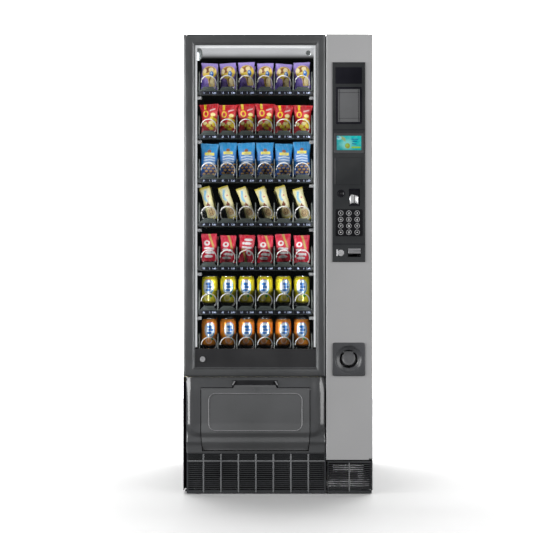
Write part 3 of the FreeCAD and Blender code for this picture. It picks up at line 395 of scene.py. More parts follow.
def soft_square_ring(x, z, half_x, half_z, y, power=8.0, count=48):
    """Square ring with rounded corners; its points lie in the same directions as a circle's."""
    ring = []
    for i in range(count):
        turn = 2 * math.pi * i / count
        c, s = math.cos(turn), math.sin(turn)
        reach = (abs(c / half_x) ** power + abs(s / half_z) ** power) ** (-1 / power)
        ring.append((x + reach * c, y, z + reach * s))
    return ring


def rounded_box_ring(x, z, radius, y, arc=6):
    """Rectangle ring with round corners, from (low, high) pairs."""
    ring = []
    centres = ((x[1] - radius, z[1] - radius), (x[0] + radius, z[1] - radius),
               (x[0] + radius, z[0] + radius), (x[1] - radius, z[0] + radius))
    for quarter, (cx, cz) in enumerate(centres):
        for step in range(arc + 1):
            turn = math.pi / 2 * (quarter + step / arc)
            ring.append((cx + radius * math.cos(turn), y, cz + radius * math.sin(turn)))
    return ring


def plaque(x, z, radius, back, front, edge=0.0008, arc=6):
    """Flat plate with round corners and softened front edges."""
    inner_x, inner_z = (x[0] + edge, x[1] - edge), (z[0] + edge, z[1] - edge)
    rings = [rounded_box_ring(x, z, radius, back, arc),
             rounded_box_ring(x, z, radius, front + edge, arc),
             rounded_box_ring(inner_x, inner_z, max(radius - edge, 0.0002), front, arc)]
    return loft(rings, end_cap=True)


def frame_plate(x, z, hole_x, hole_z, radius, back, front, edge=0.0008):
    """Rounded frame with a rounded hole."""
    inner_x, inner_z = (x[0] + edge, x[1] - edge), (z[0] + edge, z[1] - edge)
    rings = [rounded_box_ring(x, z, radius, back), rounded_box_ring(x, z, radius, front + edge),
             rounded_box_ring(inner_x, inner_z, radius, front),
             rounded_box_ring(hole_x, hole_z, radius * 0.7, front),
             rounded_box_ring(hole_x, hole_z, radius * 0.7, back)]
    return loft(rings)


def disc(x, z, profile, count=48, cap=True):
    """Turned shape facing -Y from (radius, y) points, closed at its last ring."""
    return loft([circle_ring(x, z, r, y, count) for r, y in profile], end_cap=cap)


def tube(points, radius, sides=8):
    """Round wire through points."""
    rings = []
    for i, point in enumerate(points):
        here = Vector(point)
        along = (Vector(points[min(i + 1, len(points) - 1)]) - Vector(points[max(i - 1, 0)])).normalized()
        guide = Vector((0.02, 0.0, 1.0)) if abs(along.z) < 0.9 else Vector((1, 0, 0))
        across = along.cross(guide).normalized()
        other = along.cross(across)
        ring = []
        for k in range(sides):
            turn = 2 * math.pi * k / sides
            ring.append(here + across * (radius * math.cos(turn)) + other * (radius * math.sin(turn)))
        rings.append(ring)
    return loft(rings, start_cap=True, end_cap=True)


GLYPHS = {}
PRINT_TONE = 0.78


def glyphs(text, height, depth):
    """Solid digits in the XZ plane, facing -Y, centred on the origin."""
    if (text, height) not in GLYPHS:
        curve = bpy.data.curves.new("glyphs", "FONT")
        curve.body = text
        curve.size = height / 0.7
        curve.extrude = depth / 2
        curve.resolution_u = 2
        curve.align_x = "CENTER"
        holder = bpy.data.objects.new("glyphs", curve)
        mesh = bpy.data.meshes.new_from_object(holder)
        points = [(v.co.x, -v.co.z, v.co.y - height / 2) for v in mesh.vertices]
        GLYPHS[(text, height)] = (points, [tuple(p.vertices) for p in mesh.polygons])
        bpy.data.objects.remove(holder)
        bpy.data.curves.remove(curve)
        bpy.data.meshes.remove(mesh)
    return GLYPHS[(text, height)]


def carve(obj, boxes):
    """Cut boxes out of a piece."""
    pile = Pile()
    for box in boxes:
        pile.add(slab(*box))
    mesh = bpy.data.meshes.new("cutter")
    mesh.from_pydata(pile.vertices, [], pile.faces)
    cutter = bpy.data.objects.new("cutter", mesh)
    bpy.context.scene.collection.objects.link(cutter)
    modifier = obj.modifiers.new("cut", "BOOLEAN")
    modifier.object = cutter
    modifier.solver = "EXACT"
    bpy.context.view_layer.update()
    graph = bpy.context.evaluated_depsgraph_get()
    obj.data = bpy.data.meshes.new_from_object(obj.evaluated_get(graph))
    obj.modifiers.clear()
    bpy.data.objects.remove(cutter)


def smooth_step(low, high, value):
    """0 below low, 1 above high, and a smooth rise between."""
    t = min(1.0, max(0.0, (value - low) / (high - low)))
    return t * t * (3 - 2 * t)


def blob(u, v, cu, cv, ru, rv, soft=0.12):
    """1 inside an ellipse and 0 outside it, with a soft edge."""
    r = math.hypot((u - cu) / ru, (v - cv) / rv)
    return 1.0 - smooth_step(1.0 - soft, 1.0 + soft, r)


def bar(u, v, low_u, high_u, low_v, high_v, soft=0.02):
    """1 inside a rectangle and 0 outside it, with a soft edge."""
    return (smooth_step(low_u - soft, low_u + soft, u) * (1 - smooth_step(high_u - soft, high_u + soft, u))
            * smooth_step(low_v - soft, low_v + soft, v) * (1 - smooth_step(high_v - soft, high_v + soft, v)))


def over(base, top, amount):
    """Paint one colour over another."""
    return tuple(b + (t - b) * amount for b, t in zip(base, top))


# ---------------------------------------------------------------- glass door
def door_frame():
    """Mitred door frame: round outer edge, falling face, bead and a thin lip at the glass."""
    def at(share, y, grow=0.0):
        x0 = DOOR_X[0] + (WINDOW_X[0] - DOOR_X[0]) * share - grow
        x1 = DOOR_X[1] + (WINDOW_X[1] - DOOR_X[1]) * share + grow
        z0 = DOOR_Z[0] + (WINDOW_Z[0] - DOOR_Z[0]) * share - grow
        z1 = DOOR_Z[1] + (WINDOW_Z[1] - DOOR_Z[1]) * share + grow
        return [(x0, y, z0), (x1, y, z0), (x1, y, z1), (x0, y, z1)]

    front, rear, lip = DOOR_Y[0], DOOR_Y[1], GLASS_Y[0] - 0.0001
    section = ((0.0, 7.2), (0.008, 6.2), (0.06, 4.7), (0.13, 3.0), (0.20, 1.6), (0.28, 0.6), (0.40, 0.0),
               (0.52, 0.3), (0.64, 1.3), (0.74, 2.7), (0.80, 4.1), (0.815, 5.8), (0.83, 5.8), (0.845, 3.6),
               (0.88, 2.9), (0.915, 3.6), (0.93, 5.2))
    profile = [(0.0, rear)] + [(share, front + fall * MM) for share, fall in section]
    profile += [(1.0, lip - 0.0004), (1.0, lip)]
    rings = [at(share, y) for share, y in profile]
    rings += [at(1.0, lip, REBATE), at(1.0, rear, REBATE), at(0.0, rear)]
    pile = Pile()
    pile.add(loft(rings))
    obj = pile.piece("door_frame_extrusion", "glass_door", ["door_aluminium"], 28)
    inner = DOOR_X[0] + 14.6 * MM
    outside = DOOR_X[0] - 0.01
    depth = (front - 0.01, rear + 0.01)
    carve(obj, [((outside, inner), depth, (DOOR_Z[1] - 6.6 * MM, DOOR_Z[1] + 0.01)),
                ((outside, inner), depth, (DOOR_Z[0] - 0.01, DOOR_Z[0] + 5.6 * MM))])
    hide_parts("door_frame")


def window_details():
    """Ceiling light cover, and the two round lenses at the window's top corners."""
    pile = Pile()
    x = (LINER_X[0] + 0.003, LINER_X[1] - 0.003)
    top = LINER_Z[1] - 0.0025
    rows = []
    for step in range(25):
        y = LINER_Y[0] + 0.004 + 0.40 * step / 24
        sag = 0.004 * math.sin(math.pi * step / 24)
        rows.append([(x[0] + (x[1] - x[0]) * i / 12, y, top - 0.002 - sag) for i in range(13)])
    pile.add(loft(rows, closed=False))
    pile.piece("ceiling_light_cover", "cabinet", ["ceiling_glow"])

    lenses = Pile()
    y = GLASS_Y[1] + 0.0125
    lenses.add(disc(WINDOW_X[1] - 0.028, WINDOW_Z[1] - 0.026,
                    [(0.0095, y + 0.006), (0.0105, y + 0.001), (0.0095, y), (0.007, y), (0.0065, y + 0.001)]))
    corner = Matrix.Translation((WINDOW_X[0] + 0.013, 0, WINDOW_Z[1] - 0.030))
    ellipse = corner @ Matrix.Diagonal((1, 1, 1.75, 1))
    lenses.add(disc(0, 0, [(0.0135, y + 0.008), (0.0145, y + 0.002), (0.0135, y), (0.011, y - 0.0006),
                           (0.0105, y + 0.0008), (0.004, y + 0.0002)]), place=ellipse)
    lenses.piece("light_lenses", "glass_door", ["clear_lens"])


# ---------------------------------------------------------------- payment column
def reader_pad():
    """Framed grey pad with an inset line, above the display."""
    frame_x, frame_z = (0.2305, 0.3335), (1.4715, 1.6185)
    pile = Pile()
    face = MODULE_FACE
    pile.add(frame_plate(frame_x, frame_z, (0.2375, 0.3265), (1.479, 1.611), 0.004,
                         face + 0.0015, face - 0.0004), 1)
    pile.add(plaque((0.2378, 0.3262), (1.4793, 1.6107), 0.002, face + 0.0025, face + 0.0012), 0)
    for low, high in ((1.4935, 1.4945), (1.5955, 1.5965)):
        pile.add(slab((0.2395, 0.3245), (face + 0.0005, face + 0.0014), (low, high)), 1)
    for low, high in ((0.2435, 0.2445), (0.3195, 0.3205)):
        pile.add(slab((low, high), (face + 0.0005, face + 0.0014), (1.481, 1.609)), 1)
    pile.piece("reader_pad", "column_door", ["pad_grey", "price_black"])


def blank_plates():
    """Blank badge plate at the top, blank cover below the display with a lighter strip painted on its left
    edge as a highlight, and black strips painted as shade in the seams.
    """
    pile = Pile()
    face = MODULE_FACE
    pile.add(plaque((0.2285, 0.3335), (1.6315, 1.6965), 0.002, face + 0.001, face - 0.0003), 0)
    pile.add(plaque((0.2325, 0.3325), (1.2295, 1.3375), 0.003, face + 0.001, face - 0.0003), 1)
    # painted highlight: lighter strip on the left edge of the blank cover
    pile.add(slab((0.2262, 0.2275), (face - 0.0002, face + 0.0008), (1.232, 1.335)), 2)
    # painted shade: black strips stand in for the shadow in the module's seams
    for level in (1.448, 0.994):
        pile.add(slab((MODULE_X[0] + 0.0005, MODULE_X[1] - 0.0005), (face - 0.0001, face + 0.001),
                      (level - 0.0013, level + 0.0013)), 0)
    finishes = ["price_black", "module_plastic", "rib_grey"]
    pile.piece("module_plates", "column_door", finishes)


def display_screen():
    """Display window: bezel, and a picture of plain shapes on a teal ground."""
    bezel = Pile()
    face = MODULE_FACE
    bezel.add(frame_plate((0.2225, 0.3405), (1.3555, 1.4345), (SCREEN_X[0] + 0.001, SCREEN_X[1] - 0.001),
                          (SCREEN_Z[0] + 0.001, SCREEN_Z[1] - 0.001), 0.003, face + 0.001, face - 0.0004))
    bezel.piece("display_bezel", "column_door", ["bezel_grey"])

    columns, rows = 96, 56
    x, z, y = SCREEN_X, SCREEN_Z, SCREEN_Y[0] - 0.0003
    inset = 0.0015
    points, colours = [], []
    for j in range(rows + 1):
        for i in range(columns + 1):
            u, v = i / columns, j / rows
            points.append((x[0] + inset + (x[1] - x[0] - 2 * inset) * u, y,
                           z[0] + inset + (z[1] - z[0] - 2 * inset) * v))
            colours.append(screen_colour(u, v))
    faces = []
    for j in range(rows):
        for i in range(columns):
            a = j * (columns + 1) + i
            faces.append((a, a + 1, a + columns + 2, a + columns + 1))
    picture = Pile()
    picture.add((points, faces), colours=colours)
    picture.add(slab((x[0] + inset, x[1] - inset), (y + 0.0001, y + 0.0003), (z[0] + inset, z[1] - inset)))
    picture.piece("display_picture", "column_door", ["screen_print"])


def screen_colour(u, v):
    """Generic picture: teal ground, pale glow, an orange ball, a slanted bar and short strokes."""
    colour = over((0.01, 0.42, 0.48), (0.03, 0.72, 0.75), smooth_step(0.0, 1.0, u * 0.5 + v * 0.5))
    colour = over(colour, (0.75, 0.95, 0.9), 0.75 * blob(u, v, 0.40, 0.42, 0.24, 0.36, 0.6))
    slant = v - (1.02 - 1.15 * (u - 0.08))
    colour = over(colour, (1.0, 0.55, 0.25), (1 - smooth_step(0.09, 0.16, abs(slant)))
                  * bar(u, v, 0.05, 0.36, 0.45, 0.97, 0.03))
    colour = over(colour, (0.9, 0.9, 1.0), 0.9 * blob(u, v, 0.10, 0.84, 0.10, 0.13))
    colour = over(colour, (0.12, 0.14, 0.5), 0.8 * blob(u, v, 0.06, 0.90, 0.05, 0.05))
    colour = over(colour, (0.95, 0.45, 0.03), blob(u, v, 0.44, 0.30, 0.105, 0.19))
    colour = over(colour, (1.0, 0.75, 0.1), blob(u, v, 0.42, 0.35, 0.05, 0.09, 0.4))
    for low, high, level in ((0.60, 0.88, 0.76), (0.64, 0.84, 0.62)):
        colour = over(colour, (0.02, 0.1, 0.42), 0.85 * bar(u, v, low, high, level - 0.035, level + 0.035))
    colour = over(colour, (0.02, 0.1, 0.42), 0.8 * bar(u, v + 0.25 * (u - 0.7), 0.62, 0.80, 0.40, 0.47))
    colour = over(colour, (0.95, 0.72, 0.02), bar(u, v, 0.60, 0.97, 0.14, 0.25))
    return 0.13 * colour[0], 0.33 * colour[1], 0.31 * colour[2]


def keypad():
    """Gloss-black keypad plate with round holes, and a ring and a mark on every key."""
    boxes = [span("key_" + name) for name in KEYS]
    centres = [((x[0] + x[1]) / 2, (z[0] + z[1]) / 2) for x, _, z in boxes]
    half_x = (centres[1][0] - centres[0][0]) / 2
    half_z = (centres[0][1] - centres[3][1]) / 2
    top = MODULE_FACE + 0.0004
    plate = Pile()
    for x, z in centres:
        rings = [circle_ring(x, z, 0.0121, top + 0.001), circle_ring(x, z, 0.0121, top),
                 soft_square_ring(x, z, half_x, half_z, top, 60.0)]
        plate.add(loft(rings))
    low_x, high_x = centres[0][0] - half_x, centres[2][0] + half_x
    low_z, high_z = centres[9][1] - half_z, centres[0][1] + half_z
    plate.add(frame_plate((0.2295, 0.3365), (1.0255, 1.1325), (low_x, high_x), (low_z, high_z), 0.0045,
                          top + 0.001, top, 0.0004))
    plate.piece("keypad_plate", "column_door", ["key_plastic"])

    for name, box, (x, z) in zip(KEYS, boxes, centres):
        face = box[1][0]
        mark = Pile()
        mark.add(loft([circle_ring(x, z, r, y) for r, y in
                       ((0.0100, face + 0.0003), (0.0098, face - 0.0004), (0.0086, face - 0.0004),
                        (0.0084, face + 0.0003))]))
        place = Matrix.Translation((x, face, z))
        if name.isdigit():
            mark.add(glyphs(name, 0.0082, 0.0006), 1, place)
        elif name == "clear":
            for tilt in (45, -45):
                stroke = slab((-0.0035, 0.0035), (-0.0003, 0.0003), (-0.0006, 0.0006))
                mark.add(stroke, 1, place @ Matrix.Rotation(math.radians(tilt), 4, "Y"))
        else:
            mark.add(slab((-0.0034, 0.0034), (-0.0003, 0.0003), (-0.0006, 0.0006)), 1, place)
            for tilt in (40, -40):
                stroke = slab((-0.0030, 0.0002), (-0.0003, 0.0003), (-0.0006, 0.0006))
                turned = Matrix.Translation((0.0034, 0, 0)) @ Matrix.Rotation(math.radians(tilt), 4, "Y")
                mark.add(stroke, 1, place @ turned)
        mark.piece("key_mark_" + name, "keycap_" + name, ["key_ring", "key_digit"])


def reject_mark():
    """Black collar round the coin-reject button, and its dished black face with a grey bar painted on as a
    highlight.
    """
    (x, y, z) = span("reject_button")
    cx, cz = (x[0] + x[1]) / 2, (z[0] + z[1]) / 2
    collar = Pile()
    collar.add(loft([circle_ring(cx, cz, r, depth) for r, depth in
                     ((0.0150, MODULE_FACE + 0.0005), (0.0148, MODULE_FACE - 0.0008),
                      (0.0128, MODULE_FACE - 0.0008), (0.0126, MODULE_FACE + 0.0005))]))
    collar.piece("reject_collar", "column_door", ["price_black"])
    face_with_painted_glint = Pile()
    profile = [(0.0055, y[0] + 0.0002), (0.0052, y[0] - 0.0005), (0.0030, y[0] - 0.0005),
               (0.0026, y[0] - 0.0001), (0.0002, y[0] - 0.0001)]
    face_with_painted_glint.add(disc(cx + 0.0025, cz, profile), 0)
    # painted highlight: grey bar right of the middle, standing in for light caught on the face
    face_with_painted_glint.add(slab((cx + 0.006, cx + 0.0100), (y[0] - 0.0004, y[0] + 0.0002), (cz - 0.0035, cz + 0.0035)), 1)
    face_with_painted_glint.piece("reject_button_face_painted_glint", "reject_key", ["key_plastic", "satin_grey"], 60)


def coin_entry():
    """Dark surround and a polished hooked trough in front of the coin slot."""
    face = MODULE_FACE
    (x, _, z) = span("coin_funnel")
    surround = Pile()
    surround.add(frame_plate((x[0] - 0.002, x[1] + 0.002), (z[0] - 0.002, z[1] + 0.002),
                             (x[0] + 0.001, x[1] - 0.001), (z[0] + 0.001, z[1] - 0.001), 0.003,
                             face + 0.001, face - 0.0005))
    surround.piece("coin_surround", "column_door", ["module_plastic"])
    plate = Pile()
    back = face + 0.0078
    plate.add(plaque((x[0] + 0.0005, 0.2995), (z[0] + 0.0005, z[1] - 0.0005), 0.002, back, face + 0.003))
    plate.add(plaque((0.3055, x[1] - 0.0005), (z[0] + 0.0005, z[1] - 0.0005), 0.002, back, face + 0.003))
    plate.add(plaque((0.2993, 0.3057), (1.1925, z[1] - 0.0008), 0.0004, back, face + 0.0031))
    plate.add(plaque((0.2993, 0.3057), (z[0] + 0.0008, 1.1555), 0.0004, back, face + 0.0031))
    hook = Pile()
    outline = [(-0.0165, 1.152), (-0.008, 1.157), (0.008, 1.157), (0.0165, 1.152), (0.0155, 1.168),
               (0.0165, 1.181), (0.0125, 1.186), (0.004, 1.1875), (-0.004, 1.191), (-0.012, 1.1895),
               (-0.0165, 1.184), (-0.018, 1.174), (-0.0165, 1.163)]
    middle = 0.3035
    half_slot = 0.0012
    for side in (-1, 1):
        shaped = []
        for dx, level in outline:
            place = middle + dx - 0.001
            keep = min(place, middle - half_slot) if side < 0 else max(place, middle + half_slot)
            shaped.append((keep, level))
        rings = []
        for y_at, shrink in ((face + 0.003, 0.0), (face + 0.0008, 0.0), (face, 0.0009)):
            cx = sum(p[0] for p in shaped) / len(shaped)
            cz = sum(p[1] for p in shaped) / len(shaped)
            rings.append([(px + (cx - px) * shrink / 0.01, y_at, pz + (cz - pz) * shrink / 0.01)
                          for px, pz in shaped])
        hook.add(loft(rings, end_cap=True))
    plate.piece("coin_plate", "column_door", ["price_black"])
    obj = hook.piece("coin_hook", "column_door", ["lock_chrome"], 50)
    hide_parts("coin_funnel")


def lower_module():
    """Bright lock bar and the ring beside it, and the banded guide above the card slot."""
    face = MODULE_FACE
    pile = Pile()
    pile.add(plaque((0.2335, 0.2385), (0.9465, 0.9735), 0.002, face + 0.0005, face - 0.0022), 0)
    pile.add(loft([circle_ring(0.250, 0.959, r, y) for r, y in
                   ((0.0124, face + 0.0005), (0.0124, face - 0.0007), (0.0118, face - 0.0012),
                    (0.0102, face - 0.0012), (0.0102, face + 0.0005))]), 0)
    for low, high, stand in ((0.9570, 0.9625, 0.0012), (0.9632, 0.9690, 0.0020), (0.9697, 0.9765, 0.0010)):
        pile.add(plaque((0.2795, 0.3285), (low, high), 0.001, face + 0.0015, face + 0.0006 - stand), 1)
    pile.piece("card_guide", "column_door", ["lock_chrome", "satin_grey"])


def coin_cup():
    """Square bezel that dishes into the round coin-return bowl."""
    cx, cz = COLUMN_MIDDLE, CUP_MIDDLE_Z
    half_x, half_z = (CUP_X[1] - CUP_X[0]) / 2, 0.0665
    front = CUP_Y[0]
    rings = [soft_square_ring(cx, cz, half_x, half_z, front + 0.006, 26, 96),
             soft_square_ring(cx, cz, half_x, half_z, front + 0.0014, 26, 96),
             soft_square_ring(cx, cz, half_x - 0.0008, half_z - 0.0008, front + 0.0003, 26, 96),
             soft_square_ring(cx, cz, half_x - 0.002, half_z - 0.002, front, 26, 96),
             circle_ring(cx, cz, 0.0560, front, 96), circle_ring(cx, cz, 0.0545, front + 0.0004, 96)]
    for step in range(1, 13):
        share = step / 12
        radius = 0.0538 - 0.0165 * share
        rings.append(circle_ring(cx, cz, radius, front + 0.001 + 0.0145 * share ** 0.62, 96))
    rings += [circle_ring(cx, cz, radius, y, 96) for radius, y in
              ((0.0362, front + 0.0165), (0.0358, front + 0.0185), (0.0358, CUP_Y[1] - 0.004),
               (0.030, CUP_Y[1] - 0.003))]
    pile = Pile()
    pile.add(loft(rings, end_cap=True))
    outer = [circle_ring(cx, cz, 0.0556, front + 0.0062, 96), circle_ring(cx, cz, 0.0548, front + 0.018, 96),
             circle_ring(cx, cz, 0.0388, front + 0.0205, 96), circle_ring(cx, cz, 0.0388, CUP_Y[1], 96)]
    pile.add(loft(outer, end_cap=True))
    pile.add(loft([rings[0], outer[0]]))
    obj = pile.piece("coin_cup_moulding", "column_door", ["cup_plastic"], 40)
    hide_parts("coin_cup")


def coin_cup_flap():
    """Round return flap: shallow pressed disc with a rolled rim, a hinge tube and its pin."""
    (_, y, z) = span("coin_cup_flap")
    cx = COLUMN_MIDDLE
    cz = z[0] + 0.027
    front, back = y[0] + 0.0011, y[0] + 0.0041
    pile = Pile()
    pile.add(disc(cx, cz, [(0.0262, back), (0.0270, back - 0.0007), (0.0270, front + 0.0006), (0.0262, front),
                           (0.0240, front), (0.0228, front + 0.0009), (0.0120, front + 0.0004),
                           (0.0004, front + 0.0003)], 64), 0)
    pile.add(disc(cx, cz, [(0.0262, back), (0.0004, back)], 64), 0)
    axis_y, axis_z = (y[0] + y[1]) / 2, 0.564
    pile.add(tube([(cx - 0.014, axis_y, axis_z), (cx + 0.014, axis_y, axis_z)], 0.0026, 20), 0)
    pile.add(tube([(cx - 0.0245, axis_y, axis_z), (cx + 0.0245, axis_y, axis_z)], 0.0015, 16), 1)
    obj = pile.piece("coin_return_flap", "return_flap", ["pad_grey", "zinc_steel"], 40)
    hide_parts("coin_cup_flap")


# ---------------------------------------------------------------- delivery bin
FLAP_X = (-0.305, 0.126)
FLAP_Z = (0.172, 0.421)
NOTCH_Z = (0.4325, 0.449)
TAB_X = (-0.170, -0.012)
RIDGE_X = (BIN_X[0] + 0.019, BIN_X[1] - 0.025)
RIDGE_Z = 0.246
SEAM = 0.0030
FLAP_AXIS = (-0.417, 0.416)


def taper(z, inward_depth):
    """How far the flap's side moves in at a height."""
    share = min(1.0, max(0.0, (FLAP_Z[0] + 0.075 - z) / 0.075))
    return inward_depth * share ** 1.5


def bin_recess(x, z):
    """How far the moulding's surface lies behind the bin's foremost plane."""
    left, right = x - BIN_X[0], BIN_X[1] - x
    top = BIN_Z[1] - z
    corner = 0.034
    inside_x = min(x - RIDGE_X[0], RIDGE_X[1] - x)
    inside_z = z - RIDGE_Z
    if inside_x < corner and inside_z < corner:
        inside = corner - math.hypot(corner - inside_x, corner - inside_z)
    else:
        inside = min(inside_x, inside_z)
    scoop = 0.0062 * smooth_step(0.002, 0.040, inside) if inside > 0 else 0.0
    if inside < 0:
        below = smooth_step(0.0, 0.03, -inside_z)
        beside = 0.75 * math.hypot(-inside, 0.003) - 0.75 * 0.003
        under = 0.0135 * smooth_step(0.0, 0.024, -inside)
        scoop = min(beside, 0.015) * (1 - below) + under * below
    step = z - 0.2080
    scoop -= 0.0075 * math.exp(-(step / 0.0105) ** 2) * smooth_step(0.0, 0.02, -inside_z)
    edge = 0.006 * math.exp(-(max(0.0, min(left, right)) / 0.003) ** 1.4)
    crown = 0.013 * math.exp(-(max(0.0, top) / 0.026) ** 1.2)
    return 0.0018 + scoop + max(edge, crown)


def flap_extra(x, z):
    """The flap's own relief: a raised line round its middle and a tucked-under lower edge."""
    cx, cz = (-0.275 + 0.096) / 2, (0.253 + 0.400) / 2
    half_x, half_z, radius = (0.096 + 0.275) / 2, (0.400 - 0.253) / 2, 0.027
    qx, qz = abs(x - cx) - half_x + radius, abs(z - cz) - half_z + radius
    distance = math.hypot(max(qx, 0), max(qz, 0)) + min(max(qx, qz), 0) - radius
    line = 0.0011 * math.exp(-(distance / 0.0016) ** 2)
    tuck = 0.010 * (1 - smooth_step(0.0, 0.026, z - FLAP_Z[0]))
    return tuck - line + 0.0006 * smooth_step(0.004, -0.004, distance)


def rows_between(low, high, step):
    """Evenly spaced heights that include both ends."""
    count = max(1, round((high - low) / step))
    return [low + (high - low) * i / count for i in range(count + 1)]


def with_walls(pile_shape, rear):
    """Close a height-field sheet: walls run from its open edges back to the depth rear(x, z)."""
    vertices, faces = pile_shape
    edges = {}
    for face in faces:
        for a, b in zip(face, face[1:] + face[:1]):
            edges[(a, b)] = edges.get((a, b), 0) + 1
    open_edges = [(a, b) for (a, b) in edges if (b, a) not in edges]
    vertices = list(vertices)
    moved = {}
    for a, b in open_edges:
        for i in (a, b):
            if i not in moved:
                moved[i] = len(vertices)
                x, _, z = vertices[i]
                vertices.append((x, rear(x, z), z))
    walls = [(b, a, moved[a], moved[b]) for a, b in open_edges]
    return vertices, list(faces) + walls


def grid_sheet(columns_at, heights, depth, skip=None):
    """Sheet over rows of x stations; skip(x, z) leaves a cell out."""
    rows = [columns_at(z) for z in heights]
    count = len(rows[0])
    vertices = []
    for z, row in zip(heights, rows):
        for x in row:
            vertices.append((x, depth(x, z), z))
    faces = []
    for j in range(len(heights) - 1):
        for i in range(count - 1):
            a = j * count + i
            if skip is None or not skip(i, j):
                faces.append((a, a + 1, a + count + 1, a + count))
    used = sorted({i for face in faces for i in face})
    number = {old: new for new, old in enumerate(used)}
    return [vertices[i] for i in used], [tuple(number[i] for i in face) for face in faces]


def bin_fascia():
    """Scooped gloss surround of the delivery flap, with the finger recess."""
    low_hole, high_hole = FLAP_Z[0] - SEAM, FLAP_Z[1] + SEAM
    heights = rows_between(BIN_Z[0], low_hole, 0.002)
    heights += rows_between(low_hole, high_hole, 0.0025)[1:]
    heights += rows_between(high_hole, NOTCH_Z[1], 0.002)[1:]
    heights += rows_between(NOTCH_Z[1], BIN_Z[1], 0.0018)[1:]

    def spread(a, b, count):
        return [a + (b - a) * i / count for i in range(count)]

    side_count, wing_count, notch_count = 30, 40, 40

    def columns_at(z):
        inward = taper(z, 0.006)
        left, right = FLAP_X[0] + inward - SEAM, FLAP_X[1] - inward + SEAM
        lean = 0.012 * min(1.0, max(0.0, (z - FLAP_Z[1]) / (NOTCH_Z[1] - FLAP_Z[1])))
        notch_left, notch_right = TAB_X[0] - 0.012 + lean - SEAM, TAB_X[1] + 0.012 - lean + SEAM
        return (spread(BIN_X[0], left, side_count) + spread(left, notch_left, wing_count)
                + spread(notch_left, notch_right, notch_count) + spread(notch_right, right, wing_count)
                + spread(right, BIN_X[1], side_count) + [BIN_X[1]])

    def skip(i, j):
        middle = (heights[j] + heights[j + 1]) / 2
        over_hole = side_count <= i < side_count + 2 * wing_count + notch_count
        in_hole = over_hole and low_hole < middle < high_hole
        in_notch = (side_count + wing_count <= i < side_count + wing_count + notch_count
                    and high_hole <= middle < NOTCH_Z[1])
        return in_hole or in_notch

    sheet = grid_sheet(columns_at, heights, lambda x, z: BIN_Y[0] + bin_recess(x, z), skip)
    pile = Pile()
    pile.add(with_walls(sheet, lambda x, z: BIN_Y[1]))
    back = BIN_Y[0] + 0.016
    pile.add(plaque((TAB_X[0] - 0.014, TAB_X[1] + 0.014), (NOTCH_Z[0] - 0.010, NOTCH_Z[1] + 0.003), 0.003,
                    back + 0.002, back), 1)
    # painted highlight: thin lighter slabs at the notch sides stand in for light caught on its edges
    for side, x in ((1, TAB_X[0] - 0.006), (-1, TAB_X[1] + 0.006)):
        notch_side_highlight = slab((-0.0022, 0.0022), (0.0, 0.008), (-0.0085, 0.0085))
        place = Matrix.Translation((x, BIN_Y[0] + 0.007, 0.441)) @ Matrix.Rotation(side * 0.55, 4, "Y")
        pile.add(notch_side_highlight, 2, place)
    finishes = ["bin_plastic", "black_plastic", "painted_highlight_grey"]
    obj = pile.piece("bin_surround", "cabinet", finishes, 50)
    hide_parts("bin_fascia")


def bin_flap():
    """Push flap: the same sculpted surface inside the surround, with a tab up into the finger recess."""
    heights = rows_between(FLAP_Z[0], FLAP_Z[1], 0.0015)
    heights += rows_between(FLAP_Z[1], NOTCH_Z[0], 0.0015)[1:]
    wing, middle = 70, 100

    def spread(a, b, count):
        return [a + (b - a) * i / count for i in range(count)]

    def columns_at(z):
        inward = taper(z, 0.006)
        left, right = FLAP_X[0] + inward, FLAP_X[1] - inward
        lean = 0.006 * min(1.0, max(0.0, (z - FLAP_Z[1]) / (NOTCH_Z[0] - FLAP_Z[1])))
        tab_left, tab_right = TAB_X[0] - 0.008 + lean, TAB_X[1] + 0.008 - lean
        return (spread(left, tab_left, wing) + spread(tab_left, tab_right, middle)
                + spread(tab_right, right, wing) + [right])

    def skip(i, j):
        above = (heights[j] + heights[j + 1]) / 2 > FLAP_Z[1]
        return above and not wing <= i < wing + middle

    def depth(x, z):
        roll = 0.004 * smooth_step(NOTCH_Z[0] - 0.006, NOTCH_Z[0], z)
        return BIN_Y[0] + bin_recess(x, min(z, 0.415)) + flap_extra(x, z) + 0.0004 + roll

    def rear(x, z):
        return max(BIN_Y[0] + 0.014, depth(x, z) + 0.003)

    pile = Pile()
    pile.add(with_walls(grid_sheet(columns_at, heights, depth, skip), rear))
    inner = grid_sheet(columns_at, heights, rear, skip)
    pile.add((inner[0], [face[::-1] for face in inner[1]]))
    for step in range(3):
        chevron_x, chevron_z = -0.0895, 0.4185 - 0.0055 * step
        for side in (-1, 1):
            stroke = slab((0.0, 0.012), (-0.0006, 0.0006), (-0.0011, 0.0011))
            turned = Matrix.Diagonal((side, 1, 1, 1)) @ Matrix.Rotation(math.radians(-28), 4, "Y")
            place = Matrix.Translation((chevron_x, depth(chevron_x, chevron_z), chevron_z)) @ turned
            pile.add(stroke, place=place)
    # real raised line round the flap's middle; its lighter grey is a painted highlight
    outline = rounded_box_ring((-0.275, 0.096), (0.253, 0.400), 0.027, 0.0, 10)
    outline = [(x, depth(x, z) - 0.0002, z) for x, _, z in outline + outline[:2]]
    pile.add(tube(outline, 0.0012, 8), 1)
    for x in (FLAP_X[0] - 0.006, FLAP_X[1] - 0.001):
        pile.add(tube([(x, *FLAP_AXIS), (x + 0.007, *FLAP_AXIS)], 0.003, 16))
    obj = pile.piece("push_flap", "delivery_flap", ["flap_plastic", "painted_highlight_grey"], 50)
    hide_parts("bin_flap")


